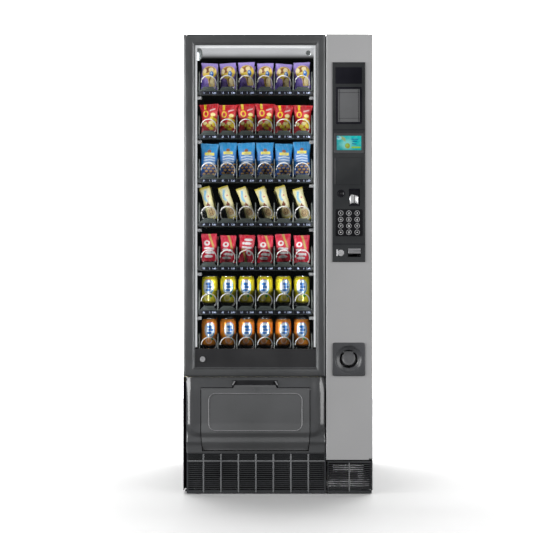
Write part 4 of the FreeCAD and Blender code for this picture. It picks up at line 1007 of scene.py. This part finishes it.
# ---------------------------------------------------------------- grilles
def grille_ribs():
    """Light upright ribs and the level bar in front of the kick grilles."""
    pile = Pile()
    front = GRILLE_Y[0]
    for i in range(7):
        x = -0.296 + 0.0695 * i
        pile.add(plaque((x - 0.0028, x + 0.0028), (GRILLE_Z[0] + 0.003, GRILLE_Z[1] - 0.002), 0.001,
                        front + 0.003, front - 0.0022, 0.0012, 3))
    pile.add(plaque((GRILLE_X[0] + 0.003, GRILLE_X[1] - 0.003), (0.1285, 0.1335), 0.001,
                    front + 0.003, front - 0.0016, 0.0012, 3))
    pile.piece("grille_ribs_left", "cabinet", ["rib_grey"])
    small = Pile()
    small.add(plaque((0.2815, 0.2865), (SMALL_GRILLE_Z[0] + 0.007, 0.1235), 0.001,
                     front + 0.003, front - 0.0018, 0.0012, 3))
    small.add(frame_plate((SMALL_GRILLE_X[0] + 0.0006, SMALL_GRILLE_X[1] - 0.0006),
                          (SMALL_GRILLE_Z[0] + 0.0006, SMALL_GRILLE_Z[1] - 0.0006),
                          (0.2012, 0.3692), (0.0102, 0.1232), 0.002, front + 0.003, front - 0.0014), 1)
    small.piece("grille_frame_right", "cabinet", ["rib_grey", "grille_plastic"])


# ---------------------------------------------------------------- trays
SPIRAL_TURNS = {1: 8, 2: 8, 3: 8, 4: 8, 5: 8, 6: 5, 7: 5}
SPIRAL_LENGTH = 544 * MM
SPIRAL_FRONT = -308 * MM
SPIRAL_RADIUS = 30.3 * MM
SPIRAL_RISE = 44 * MM
WIRE_RADIUS = 2.2 * MM
COLUMN_PITCH = 76.4 * MM
TURNING_SPIRAL = (2, 0)
RAIL_FRONT = -322 * MM


def helix(x, z, turns, pitch, y_front, y_rear):
    """Product spiral of round wire: it starts at the left, climbs over the top and ends in the motor."""
    radius = SPIRAL_RADIUS
    steps = 28
    points = []
    for i in range(turns * steps + 1):
        turn = 2 * math.pi * i / steps
        points.append((x - radius * math.cos(turn), y_front + pitch * i / steps, z + radius * math.sin(turn)))
    end = points[-1][1]
    for share in (0.35, 0.7):
        points.append((x - radius * (1 - share), end + 0.0005, z))
    points += [(x - 0.003, end + 0.001, z), (x, end + 0.004, z), (x, y_rear, z)]
    return tube(points, WIRE_RADIUS, 8)


def tray_rail(index):
    """Middle height of a tray's price rail."""
    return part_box("tray_%d" % index)[0].z + RAIL_HALF


def column_xs(index):
    """Middles of a tray's product columns."""
    x = span("tray_%d" % index)[0]
    middle = (x[0] + x[1]) / 2
    return [middle + (i - (COLUMNS - 1) / 2) * COLUMN_PITCH for i in range(COLUMNS)]


def spirals(index):
    """All the spirals of one tray; the turning one is a piece of its own."""
    z = tray_rail(index) + SPIRAL_RISE
    node = "spirals_%d" % index
    rear = span(node)[1][1]
    turns = SPIRAL_TURNS[index]
    pitch = SPIRAL_LENGTH / turns
    pile = Pile()
    for column, x in enumerate(column_xs(index)):
        if (index, column) != TURNING_SPIRAL:
            pile.add(helix(x, z, turns, pitch, SPIRAL_FRONT, rear))
    obj = pile.piece("wire_spirals_%d" % index, "tray_body_%d" % index, ["spiral_wire"], 80)
    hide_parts(node)
    if index == TURNING_SPIRAL[0]:
        single = Pile()
        single.add(helix(column_xs(index)[TURNING_SPIRAL[1]], z, turns, pitch, SPIRAL_FRONT, rear))
        turning = single.piece("wire_spiral_turning", "spiral", ["spiral_wire"], 80)
        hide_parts("turning_spiral")


def price_rail(index):
    """Label strip of one tray with a column number and a price in front of each spiral."""
    z = tray_rail(index)
    xs = column_xs(index)
    front = RAIL_FRONT
    strip = Pile()
    for middle in xs:
        strip.add(plaque((middle - 0.0372, middle + 0.0372), (z - 0.0085, z + 0.0065), 0.0012,
                         front + 0.0002, front - 0.0012, 0.0005, 3), 0)
    strip.add(plaque((xs[0] - 0.0385, xs[-1] + 0.0385), (z + 0.0068, z + 0.0098), 0.0006,
                     front + 0.0002, front - 0.0018, 0.0006, 3), 1)
    prices = {1: "1.80", 2: "1.80", 3: "2.20", 4: "1.50", 5: "1.60", 6: "2.00", 7: "2.00"}
    for column, middle in enumerate(xs):
        number = "%d%d" % (index, column + 1)
        for text, offset in ((number, -0.018), ("1", 0.005), (prices[index], 0.023)):
            place = Matrix.Translation((middle + offset, front - 0.0014, z - 0.0008))
            strip.add(glyphs(text, 0.0066, 0.0005), 2, place)
    finishes = ["price_black", "tray_steel", "price_digits_painted_glow"]
    strip.piece("price_strip_%d" % index, "tray_body_%d" % index, finishes)


def divider_trim(index):
    """Rounded front edges of one tray's dividers."""
    z = tray_rail(index)
    xs = column_xs(index)
    edges = [x - 0.0382 for x in xs] + [xs[-1] + 0.0382]
    pile = Pile()
    bends = ((-0.3185, 0.010), (-0.3165, 0.056), (-0.3085, 0.073), (-0.2965, 0.0885))
    for x in edges:
        pile.add(tube([(x, y, z + rise) for y, rise in bends], 0.0021, 8), 0)
    pile.piece("divider_trim_%d" % index, "tray_body_%d" % index, ["tray_edge"], 60)


# ---------------------------------------------------------------- goods
BAG_ROWS_DEEP = 3


def bag(width, height, thick, art, seed, flare=0.0, columns=40, rows=52):
    """Pillow bag: crimped ends, pulled-in sides and crumpled film. Its bottom is at the origin."""
    shift = Vector((seed * 3.7, seed * 1.3, seed * 2.9))
    front, back, colours = [], [], []
    for j in range(rows + 1):
        v = j / rows
        end = min(v, 1 - v)
        belly = smooth_step(0.02, 0.30, end) ** 0.7
        half = width / 2 * (1 - 0.07 * belly + flare * smooth_step(0.55, 1.0, v))
        for i in range(columns + 1):
            u = i / columns
            s = 2 * u - 1
            bulge = thick / 2 * belly * (1 - abs(s) ** 2.4) ** 0.62
            x = half * s
            z = height * v + 0.0022 * belly * abs(s) ** 3 * (0.5 - v) * 2
            wrinkle = noise.noise(Vector((u * 5, v * 3.2, 0)) + shift)
            crease = noise.noise(Vector((u * 16, v * 5, 2.0)) + shift)
            near_end = 1 - smooth_step(0.05, 0.38, end)
            crimp = 0.0005 * math.sin(v * height * 4200) if end < 0.055 else 0.0
            relief = 0.0026 * wrinkle * belly + 0.0017 * crease * near_end + crimp
            sway = 0.0022 * noise.noise(Vector((v * 3, seed * 5.0, 1.0)))
            front.append((x + sway, -bulge - 0.0006 + relief, z))
            back.append((x + sway, bulge + 0.0006 + relief, z))
            # painted highlight: white mixed into the print on the creases near the crimped ends
            painted_crease_highlight = 0.16 * max(0.0, crease) * near_end
            colours.append(tuple(PRINT_TONE * c for c in over(art(u, v), (1, 1, 1), painted_crease_highlight)))
    vertices = front + back
    count = columns + 1
    offset = len(front)
    faces = []
    for j in range(rows):
        for i in range(columns):
            a = j * count + i
            faces.append((a, a + 1, a + count + 1, a + count))
            faces.append((offset + a, offset + a + count, offset + a + count + 1, offset + a + 1))
    for i in range(columns):
        faces.append((i, offset + i, offset + i + 1, i + 1))
        t = rows * count + i
        faces.append((t, t + 1, offset + t + 1, offset + t))
    for j in range(rows):
        a, b = j * count, (j + 1) * count
        faces.append((a, b, offset + b, offset + a))
        a, b = a + columns, b + columns
        faces.append((a, offset + a, offset + b, b))
    return (vertices, faces), colours + colours


def biscuit_art(u, v):
    """Purple film, yellow field with pale biscuits and a blue disc."""
    colour = over((0.30, 0.20, 0.62), (0.42, 0.32, 0.78), smooth_step(0.75, 1.0, v))
    colour = over(colour, (0.09, 0.05, 0.33), smooth_step(0.62, 0.2, u + v * 0.9))
    field = max(blob(u, v, 0.52, 0.63, 0.46, 0.25, 0.05),
                bar(u, v, 0.38 + 0.35 * (0.5 - v), 0.86, 0.10, 0.55, 0.02))
    colour = over(colour, (0.88, 0.62, 0.08), field)
    for cu, cv, ru, rv in ((0.30, 0.70, 0.24, 0.10), (0.56, 0.76, 0.26, 0.09), (0.62, 0.30, 0.13, 0.14)):
        colour = over(colour, (0.30, 0.11, 0.03), blob(u, v, cu, cv, ru, rv, 0.08))
    for cu, cv, ru, rv in ((0.19, 0.68, 0.12, 0.10), (0.60, 0.74, 0.16, 0.09), (0.70, 0.27, 0.15, 0.16)):
        colour = over(colour, (0.90, 0.74, 0.38), blob(u, v, cu, cv, ru, rv, 0.08))
    colour = over(colour, (0.02, 0.16, 0.62), blob(u, v, 0.66, 0.57, 0.13, 0.11, 0.06))
    colour = over(colour, (0.55, 0.75, 0.95), blob(u, v, 0.64, 0.60, 0.06, 0.04, 0.3))
    return colour


def crisp_art(u, v):
    """Red film, yellow stripe and ring, heap of yellow crisps."""
    colour = over((0.62, 0.01, 0.02), (0.36, 0.004, 0.012), smooth_step(0.3, 0.0, v))
    colour = over(colour, (0.92, 0.72, 0.02), bar(u, v, 0.24, 0.36, 0.80, 1.01, 0.01))
    ring = blob(u, v, 0.30, 0.64, 0.16, 0.12, 0.06) - blob(u, v, 0.30, 0.64, 0.10, 0.075, 0.08)
    colour = over(colour, (0.92, 0.66, 0.03), max(0.0, ring))
    colour = over(colour, (0.85, 0.75, 0.72), bar(u, v - 0.2 * (u - 0.7), 0.56, 0.86, 0.76, 0.80))
    crisps = ((0.74, 0.60, 0.16, 0.07), (0.66, 0.47, 0.15, 0.07), (0.84, 0.40, 0.12, 0.08),
              (0.62, 0.32, 0.17, 0.07), (0.80, 0.24, 0.16, 0.08), (0.44, 0.22, 0.16, 0.07),
              (0.22, 0.30, 0.13, 0.07), (0.58, 0.12, 0.15, 0.05))
    for number, (cu, cv, ru, rv) in enumerate(crisps):
        colour = over(colour, (0.55, 0.24, 0.01), blob(u, v, cu + 0.02, cv - 0.02, ru, rv, 0.08))
        shade = (0.93, 0.72, 0.04) if number % 3 else (0.95, 0.84, 0.35)
        colour = over(colour, shade, blob(u, v, cu, cv, ru * 0.9, rv * 0.85, 0.1))
    return colour


def nut_art(u, v):
    """Blue film, yellow band, pale stripes and a heap of nuts."""
    colour = over((0.012, 0.17, 0.52), (0.03, 0.34, 0.72), smooth_step(0.55, 0.9, v))
    colour = over(colour, (0.01, 0.06, 0.26), smooth_step(0.34, 0.05, v))
    colour = over(colour, (0.30, 0.10, 0.03), blob(u, v, 0.50, 0.76, 0.12, 0.05))
    colour = over(colour, (0.93, 0.78, 0.05), bar(u, v, 0.22, 0.80, 0.635, 0.715, 0.012))
    colour = over(colour, (0.05, 0.14, 0.35), 0.8 * bar(u, v, 0.34, 0.68, 0.663, 0.687, 0.008))
    for level in (0.57, 0.49, 0.41):
        wave = 0.012 * math.sin(u * 9)
        stripe = bar(u, v + wave, 0.16, 0.86, level - 0.022, level + 0.022, 0.01)
        colour = over(colour, (0.62, 0.72, 0.80), 0.85 * stripe)
    for row in range(4):
        for place in range(3):
            cu = 0.22 + 0.27 * place + (0.12 if row % 2 else 0.0)
            cv = 0.07 + 0.085 * row
            if cu < 0.9:
                colour = over(colour, (0.10, 0.04, 0.015), blob(u, v, cu + 0.02, cv - 0.012, 0.115, 0.036))
                colour = over(colour, (0.74, 0.44, 0.16), blob(u, v, cu, cv, 0.09, 0.027, 0.3))
    return colour


def bar_art(u, v):
    """Pale yellow wrapper with a light-blue stroke, a chocolate drop and a biscuit."""
    colour = over((0.86, 0.78, 0.36), (0.93, 0.88, 0.60), smooth_step(0.1, 0.5, u) * smooth_step(1.0, 0.6, u))
    colour = over(colour, (0.70, 0.58, 0.06), 1 - smooth_step(0.03, 0.08, min(v, 1 - v)))
    stroke = u - 0.36 - 0.10 * math.sin(v * 16)
    drawn = (1 - smooth_step(0.08, 0.16, abs(stroke))) * bar(u, v, 0.1, 0.7, 0.55, 0.90)
    colour = over(colour, (0.30, 0.60, 0.85), drawn)
    colour = over(colour, (0.75, 0.15, 0.18), blob(u, v, 0.66, 0.70, 0.09, 0.025))
    colour = over(colour, (0.20, 0.05, 0.02), blob(u, v, 0.42, 0.43, 0.20, 0.055))
    colour = over(colour, (0.28, 0.08, 0.03), blob(u, v, 0.44, 0.49, 0.08, 0.035))
    colour = over(colour, (0.42, 0.20, 0.07), blob(u, v, 0.5, 0.23, 0.37, 0.115, 0.05))
    colour = over(colour, (0.80, 0.58, 0.28), blob(u, v, 0.5, 0.235, 0.33, 0.10, 0.06))
    for k in range(6):
        turn = k * 1.05
        colour = over(colour, (0.18, 0.06, 0.02), blob(u, v, 0.5 + 0.19 * math.cos(turn),
                                                       0.235 + 0.058 * math.sin(turn), 0.06, 0.018))
    return colour


def wafer_art(u, v):
    """Red wrapper with white rounded shapes and a gold slanted stripe."""
    colour = over((0.60, 0.004, 0.03), (0.74, 0.02, 0.06), smooth_step(0.2, 0.6, v))
    gold = u - (0.56 + 0.55 * (0.90 - v))
    stripe = (1 - smooth_step(0.05, 0.09, abs(gold))) * smooth_step(0.45, 0.55, v)
    colour = over(colour, (0.62, 0.42, 0.10), stripe)
    marks = ((0.34, 0.66, 0.20, 0.10), (0.34, 0.47, 0.22, 0.045), (0.66, 0.44, 0.16, 0.055),
             (0.46, 0.31, 0.26, 0.050), (0.42, 0.17, 0.28, 0.050), (0.74, 0.30, 0.08, 0.050))
    for cu, cv, ru, rv in marks:
        colour = over(colour, (0.86, 0.84, 0.84), blob(u, v, cu, cv, ru, rv, 0.08))
    for cu, cv, ru, rv in ((0.34, 0.67, 0.09, 0.045), (0.47, 0.24, 0.30, 0.018), (0.50, 0.395, 0.34, 0.016)):
        colour = over(colour, (0.62, 0.01, 0.04), blob(u, v, cu, cv, ru, rv, 0.15))
    return colour


def can_art(body, dark):
    """Drink-can print in one body colour: pale disc with blue shapes, a slice of fruit, and a dark foot that
    is painted shade.
    """
    def art(u, v):
        # painted shade: the print turns dark at the foot of the can
        colour = over(body, dark, smooth_step(0.12, 0.0, v))
        colour = over(colour, (0.78, 0.86, 0.90), blob(u, v, 0.5, 0.60, 0.205, 0.27, 0.05))
        colour = over(colour, (0.05, 0.35, 0.66), max(0.0, blob(u, v, 0.5, 0.60, 0.20, 0.265, 0.04)
                                                      - blob(u, v, 0.49, 0.61, 0.175, 0.235, 0.08)))
        for cu, cv, ru, rv in ((0.49, 0.71, 0.10, 0.055), (0.53, 0.60, 0.11, 0.05), (0.48, 0.49, 0.10, 0.05)):
            colour = over(colour, (0.02, 0.15, 0.48), blob(u, v, cu, cv, ru, rv, 0.2))
        slice_edge = blob(u, v, 0.46, 0.22, 0.12, 0.12, 0.06)
        colour = over(colour, over(body, (1, 1, 1), 0.55), slice_edge)
        colour = over(colour, body, 0.8 * blob(u, v, 0.46, 0.22, 0.09, 0.09, 0.08))
        colour = over(colour, (0.06, 0.36, 0.06), blob(u, v, 0.59, 0.28, 0.05, 0.05, 0.15))
        colour = over(colour, (0.75, 0.10, 0.04), 0.9 * bar(u, v, 0.40, 0.58, 0.87, 0.90, 0.01))
        return colour
    return art


def can(art, turned):
    """Drink can: (shape, colours) of the printed body and shape of the bare lid and foot."""
    radius, height = 0.0325, 0.115
    profile = [(0.0235, 0.0), (0.0262, 0.002), (0.0315, 0.0085)]
    rows = 30
    for j in range(rows + 1):
        profile.append((radius, 0.0105 + (height - 0.0285) * j / rows))
    for share in (0.25, 0.5, 0.75, 1.0):
        profile.append((radius - 0.0055 * share ** 1.4, height - 0.018 + 0.0145 * share))
    sides = 72
    rings, colours = [], []
    for r, z in profile:
        ring = []
        for k in range(sides):
            turn = 2 * math.pi * k / sides
            ring.append((r * math.sin(turn), r * -math.cos(turn), z))
            u = 0.5 + ((turn + math.pi) % (2 * math.pi) - math.pi) / math.pi * 0.9 + turned
            colours.append(tuple(PRINT_TONE * c for c in art(u, z / height)))
        rings.append(ring)
    body = loft(rings, start_cap=True)
    lid_rings = []
    for r, below in ((27.0, 3.6), (27.4, 2.2), (26.8, 0.2), (25.8, 0.0), (25.0, 1.0), (24.6, 4.8),
                     (20.0, 5.2), (4.0, 5.0)):
        turns = [2 * math.pi * k / sides for k in range(sides)]
        lid_rings.append([(r * MM * math.sin(turn), -r * MM * math.cos(turn), height - below * MM)
                          for turn in turns])
    lid = loft(lid_rings, end_cap=True)
    return body, colours, lid


def goods_row(index, width, height, thick, art, lift, flare=0.0, tilt=0.0, seed=1):
    """Bags three deep in each column of one tray, each a little different."""
    chance = random.Random(seed)
    z = tray_rail(index)
    pile = Pile()
    for column, x in enumerate(column_xs(index)):
        for depth in range(BAG_ROWS_DEEP):
            detail = (40, 52) if depth == 0 else (12, 16)
            shape, colours = bag(width, height, thick, art, seed * 10 + column + depth * 7, flare, *detail)
            roll = math.radians(tilt + chance.uniform(-3.4, 3.4))
            lean = math.radians(chance.uniform(1.0, 4.0))
            turn = math.radians(chance.uniform(-7, 7))
            y = -0.2545 + 0.068 * depth + chance.uniform(-0.002, 0.002)
            sideways = chance.uniform(-0.002, 0.002)
            stand = Matrix.Translation((x + sideways, y, z + lift + chance.uniform(0.0, 0.009)))
            place = stand @ Matrix.Rotation(turn, 4, "Z") @ Matrix.Rotation(-lean, 4, "X")
            middle = Matrix.Translation((0, 0, height / 2))
            place = place @ middle @ Matrix.Rotation(-roll, 4, "Y") @ middle.inverted()
            if (index, column, depth) == (5, 2, 0):
                place = place @ middle @ Matrix.Rotation(math.pi, 4, "Y") @ middle.inverted()
            pile.add(shape, 0, place, colours)
    pile.piece("goods_%d" % index, "tray_body_%d" % index, ["film"], sharp=60)


def cans_row(index, art, lift, seed):
    """Three cans deep in each column of one tray."""
    chance = random.Random(seed)
    z = tray_rail(index)
    pitch = SPIRAL_LENGTH / SPIRAL_TURNS[index]
    pile = Pile()
    for x in column_xs(index):
        for depth in range(3):
            body, colours, lid = can(art, chance.uniform(-0.08, 0.06))
            y = SPIRAL_FRONT + (0.75 + depth) * pitch
            place = Matrix.Translation((x + chance.uniform(-0.001, 0.001), y, z + lift))
            pile.add(body, 0, place, colours)
            pile.add(lid, 1, place)
    pile.piece("goods_%d" % index, "tray_body_%d" % index, ["can_print", "can_metal"], sharp=30)


def goods():
    """Everything for sale: three bag rows, a bar row, a wafer row and two can rows."""
    goods_row(1, 0.068, 0.108, 0.024, biscuit_art, 0.019, seed=1)
    goods_row(2, 0.071, 0.114, 0.026, crisp_art, 0.020, flare=0.13, seed=2)
    goods_row(3, 0.071, 0.134, 0.025, nut_art, 0.021, flare=0.03, seed=3)
    goods_row(4, 0.042, 0.138, 0.018, bar_art, 0.016, tilt=17, seed=4)
    goods_row(5, 0.065, 0.112, 0.022, wafer_art, 0.021, seed=5)
    # the second colour of each can is the painted shade at its foot
    cans_row(6, can_art((0.86, 0.74, 0.02), (0.05, 0.05, 0.02)), 0.032, 6)
    cans_row(7, can_art((0.90, 0.30, 0.02), (0.06, 0.03, 0.02)), 0.034, 7)


# ---------------------------------------------------------------- carried-over CAD nodes
def dress_nodes():
    """Give every CAD node that stays in view the finish of its material slot."""
    for entry in frame["record"]["subparts"]:
        obj = NODES[entry["node"]]
        obj.data.materials.clear()
        obj.data.materials.append(FINISH[entry["material_slot"]])
    for name, finish in (("tray_runners", "runner_dark"), ("base_frame", "steel_shade"),
                         ("hinge_pins", "runner_dark")):
        NODES[name].data.materials.clear()
        NODES[name].data.materials.append(FINISH[finish])


# ---------------------------------------------------------------- stage
def stage():
    """White floor, and a softly shining backdrop behind it."""
    white = surface("floor_white", (0.345, 0.345, 0.345), (0.36, 0.36, 0.36), (0.7, 0.8), grain=200,
                    bump=0.02, patch=1.0, specular=0.1)
    bright = glowing("backdrop_white", (1, 1, 1), 1.1, (0.85, 0.85, 0.85))
    for name, half_width, profile, finish in (("floor", 14.0, [(-9.0, 0.0), (3.2, 0.0)], white),
                                              ("backdrop", 2.4, [(3.2, 0.0), (3.2, 3.4)], bright)):
        vertices, faces = loft([[(-half_width, y, z), (half_width, y, z)] for y, z in profile], closed=False)
        mesh = bpy.data.meshes.new(name)
        mesh.from_pydata(vertices, [], faces)
        mesh.materials.append(finish)
        obj = bpy.data.objects.new(name, mesh)
        bpy.context.scene.collection.objects.link(obj)
        obj.visible_glossy = False
        obj.visible_diffuse = name == "backdrop"


def area_light(name, place, target, size, energy, colour=(1, 1, 1)):
    """Soft rectangular light aimed at a point."""
    light = bpy.data.lights.new(name, "AREA")
    light.shape = "RECTANGLE"
    light.size, light.size_y = size
    light.energy = energy
    light.color = colour
    obj = bpy.data.objects.new(name, light)
    obj.location = place
    obj.rotation_euler = (Vector(target) - Vector(place)).to_track_quat("-Z", "Y").to_euler()
    obj.visible_camera = False
    bpy.context.scene.collection.objects.link(obj)
    return obj


def lights():
    """Studio softboxes outside, and the window's own light strips inside."""
    world = bpy.data.worlds.new("studio")
    world.use_nodes = True
    background = world.node_tree.nodes["Background"]
    background.inputs["Color"].default_value = (1, 1, 1, 1)
    background.inputs["Strength"].default_value = 0.10
    bpy.context.scene.world = world
    area_light("front_left", (-3.4, -4.1, 1.5), (0, -0.4, 0.8), (1.6, 2.2), 190)
    area_light("front_right", (3.4, -4.1, 1.5), (0, -0.4, 0.8), (1.6, 2.2), 185)
    area_light("side_left", (-2.4, -1.2, 1.2), (0, -0.4, 0.9), (1.0, 2.6), 85)
    area_light("side_right", (2.4, -1.2, 1.2), (0, -0.4, 0.9), (1.0, 2.6), 45)
    area_light("overhead", (0, -2.4, 4.2), (0, -0.4, 0.4), (3.0, 0.6), 12)
    top = area_light("top", (0, 1.4, 4.7), (0, 0.3, 0), (4.5, 2.5), 850)
    top.visible_glossy = False
    middle_z = (GLASS_Z[0] + GLASS_Z[1]) / 2
    tall = GLASS_Z[1] - GLASS_Z[0] - 0.06
    for side, x in (("left", GLASS_X[0] + 0.012), ("right", GLASS_X[1] - 0.012)):
        inward = -0.09 + (0.05 if side == "left" else -0.05)
        area_light("strip_" + side, (x, -0.386, middle_z), (inward, -0.24, middle_z), (0.012, tall), 1.6,
                   (0.95, 0.98, 1.0))


def camera():
    """Level camera in front of the machine, at the middle of its height."""
    distance, height, off_axis, view_width = 5.0, 0.905, -0.0454, 2.1205
    lens = bpy.data.cameras.new("camera")
    lens.sensor_width = 36.0
    lens.lens = lens.sensor_width * distance / view_width
    obj = bpy.data.objects.new("camera", lens)
    obj.location = (off_axis, DOOR_Y[0] - distance, height)
    obj.rotation_euler = (math.pi / 2, 0, 0)
    bpy.context.scene.collection.objects.link(obj)
    bpy.context.scene.camera = obj
    bpy.context.scene.view_settings.view_transform = "Standard"


FINISH = make_materials()
camera()
lights()
stage()
dress_nodes()
door_frame()
window_details()
reader_pad()
blank_plates()
display_screen()
keypad()
reject_mark()
coin_entry()
lower_module()
coin_cup()
coin_cup_flap()
bin_fascia()
bin_flap()
grille_ribs()
for tray_index in range(1, TRAY_COUNT + 1):
    spirals(tray_index)
    price_rail(tray_index)
    divider_trim(tray_index)
goods()
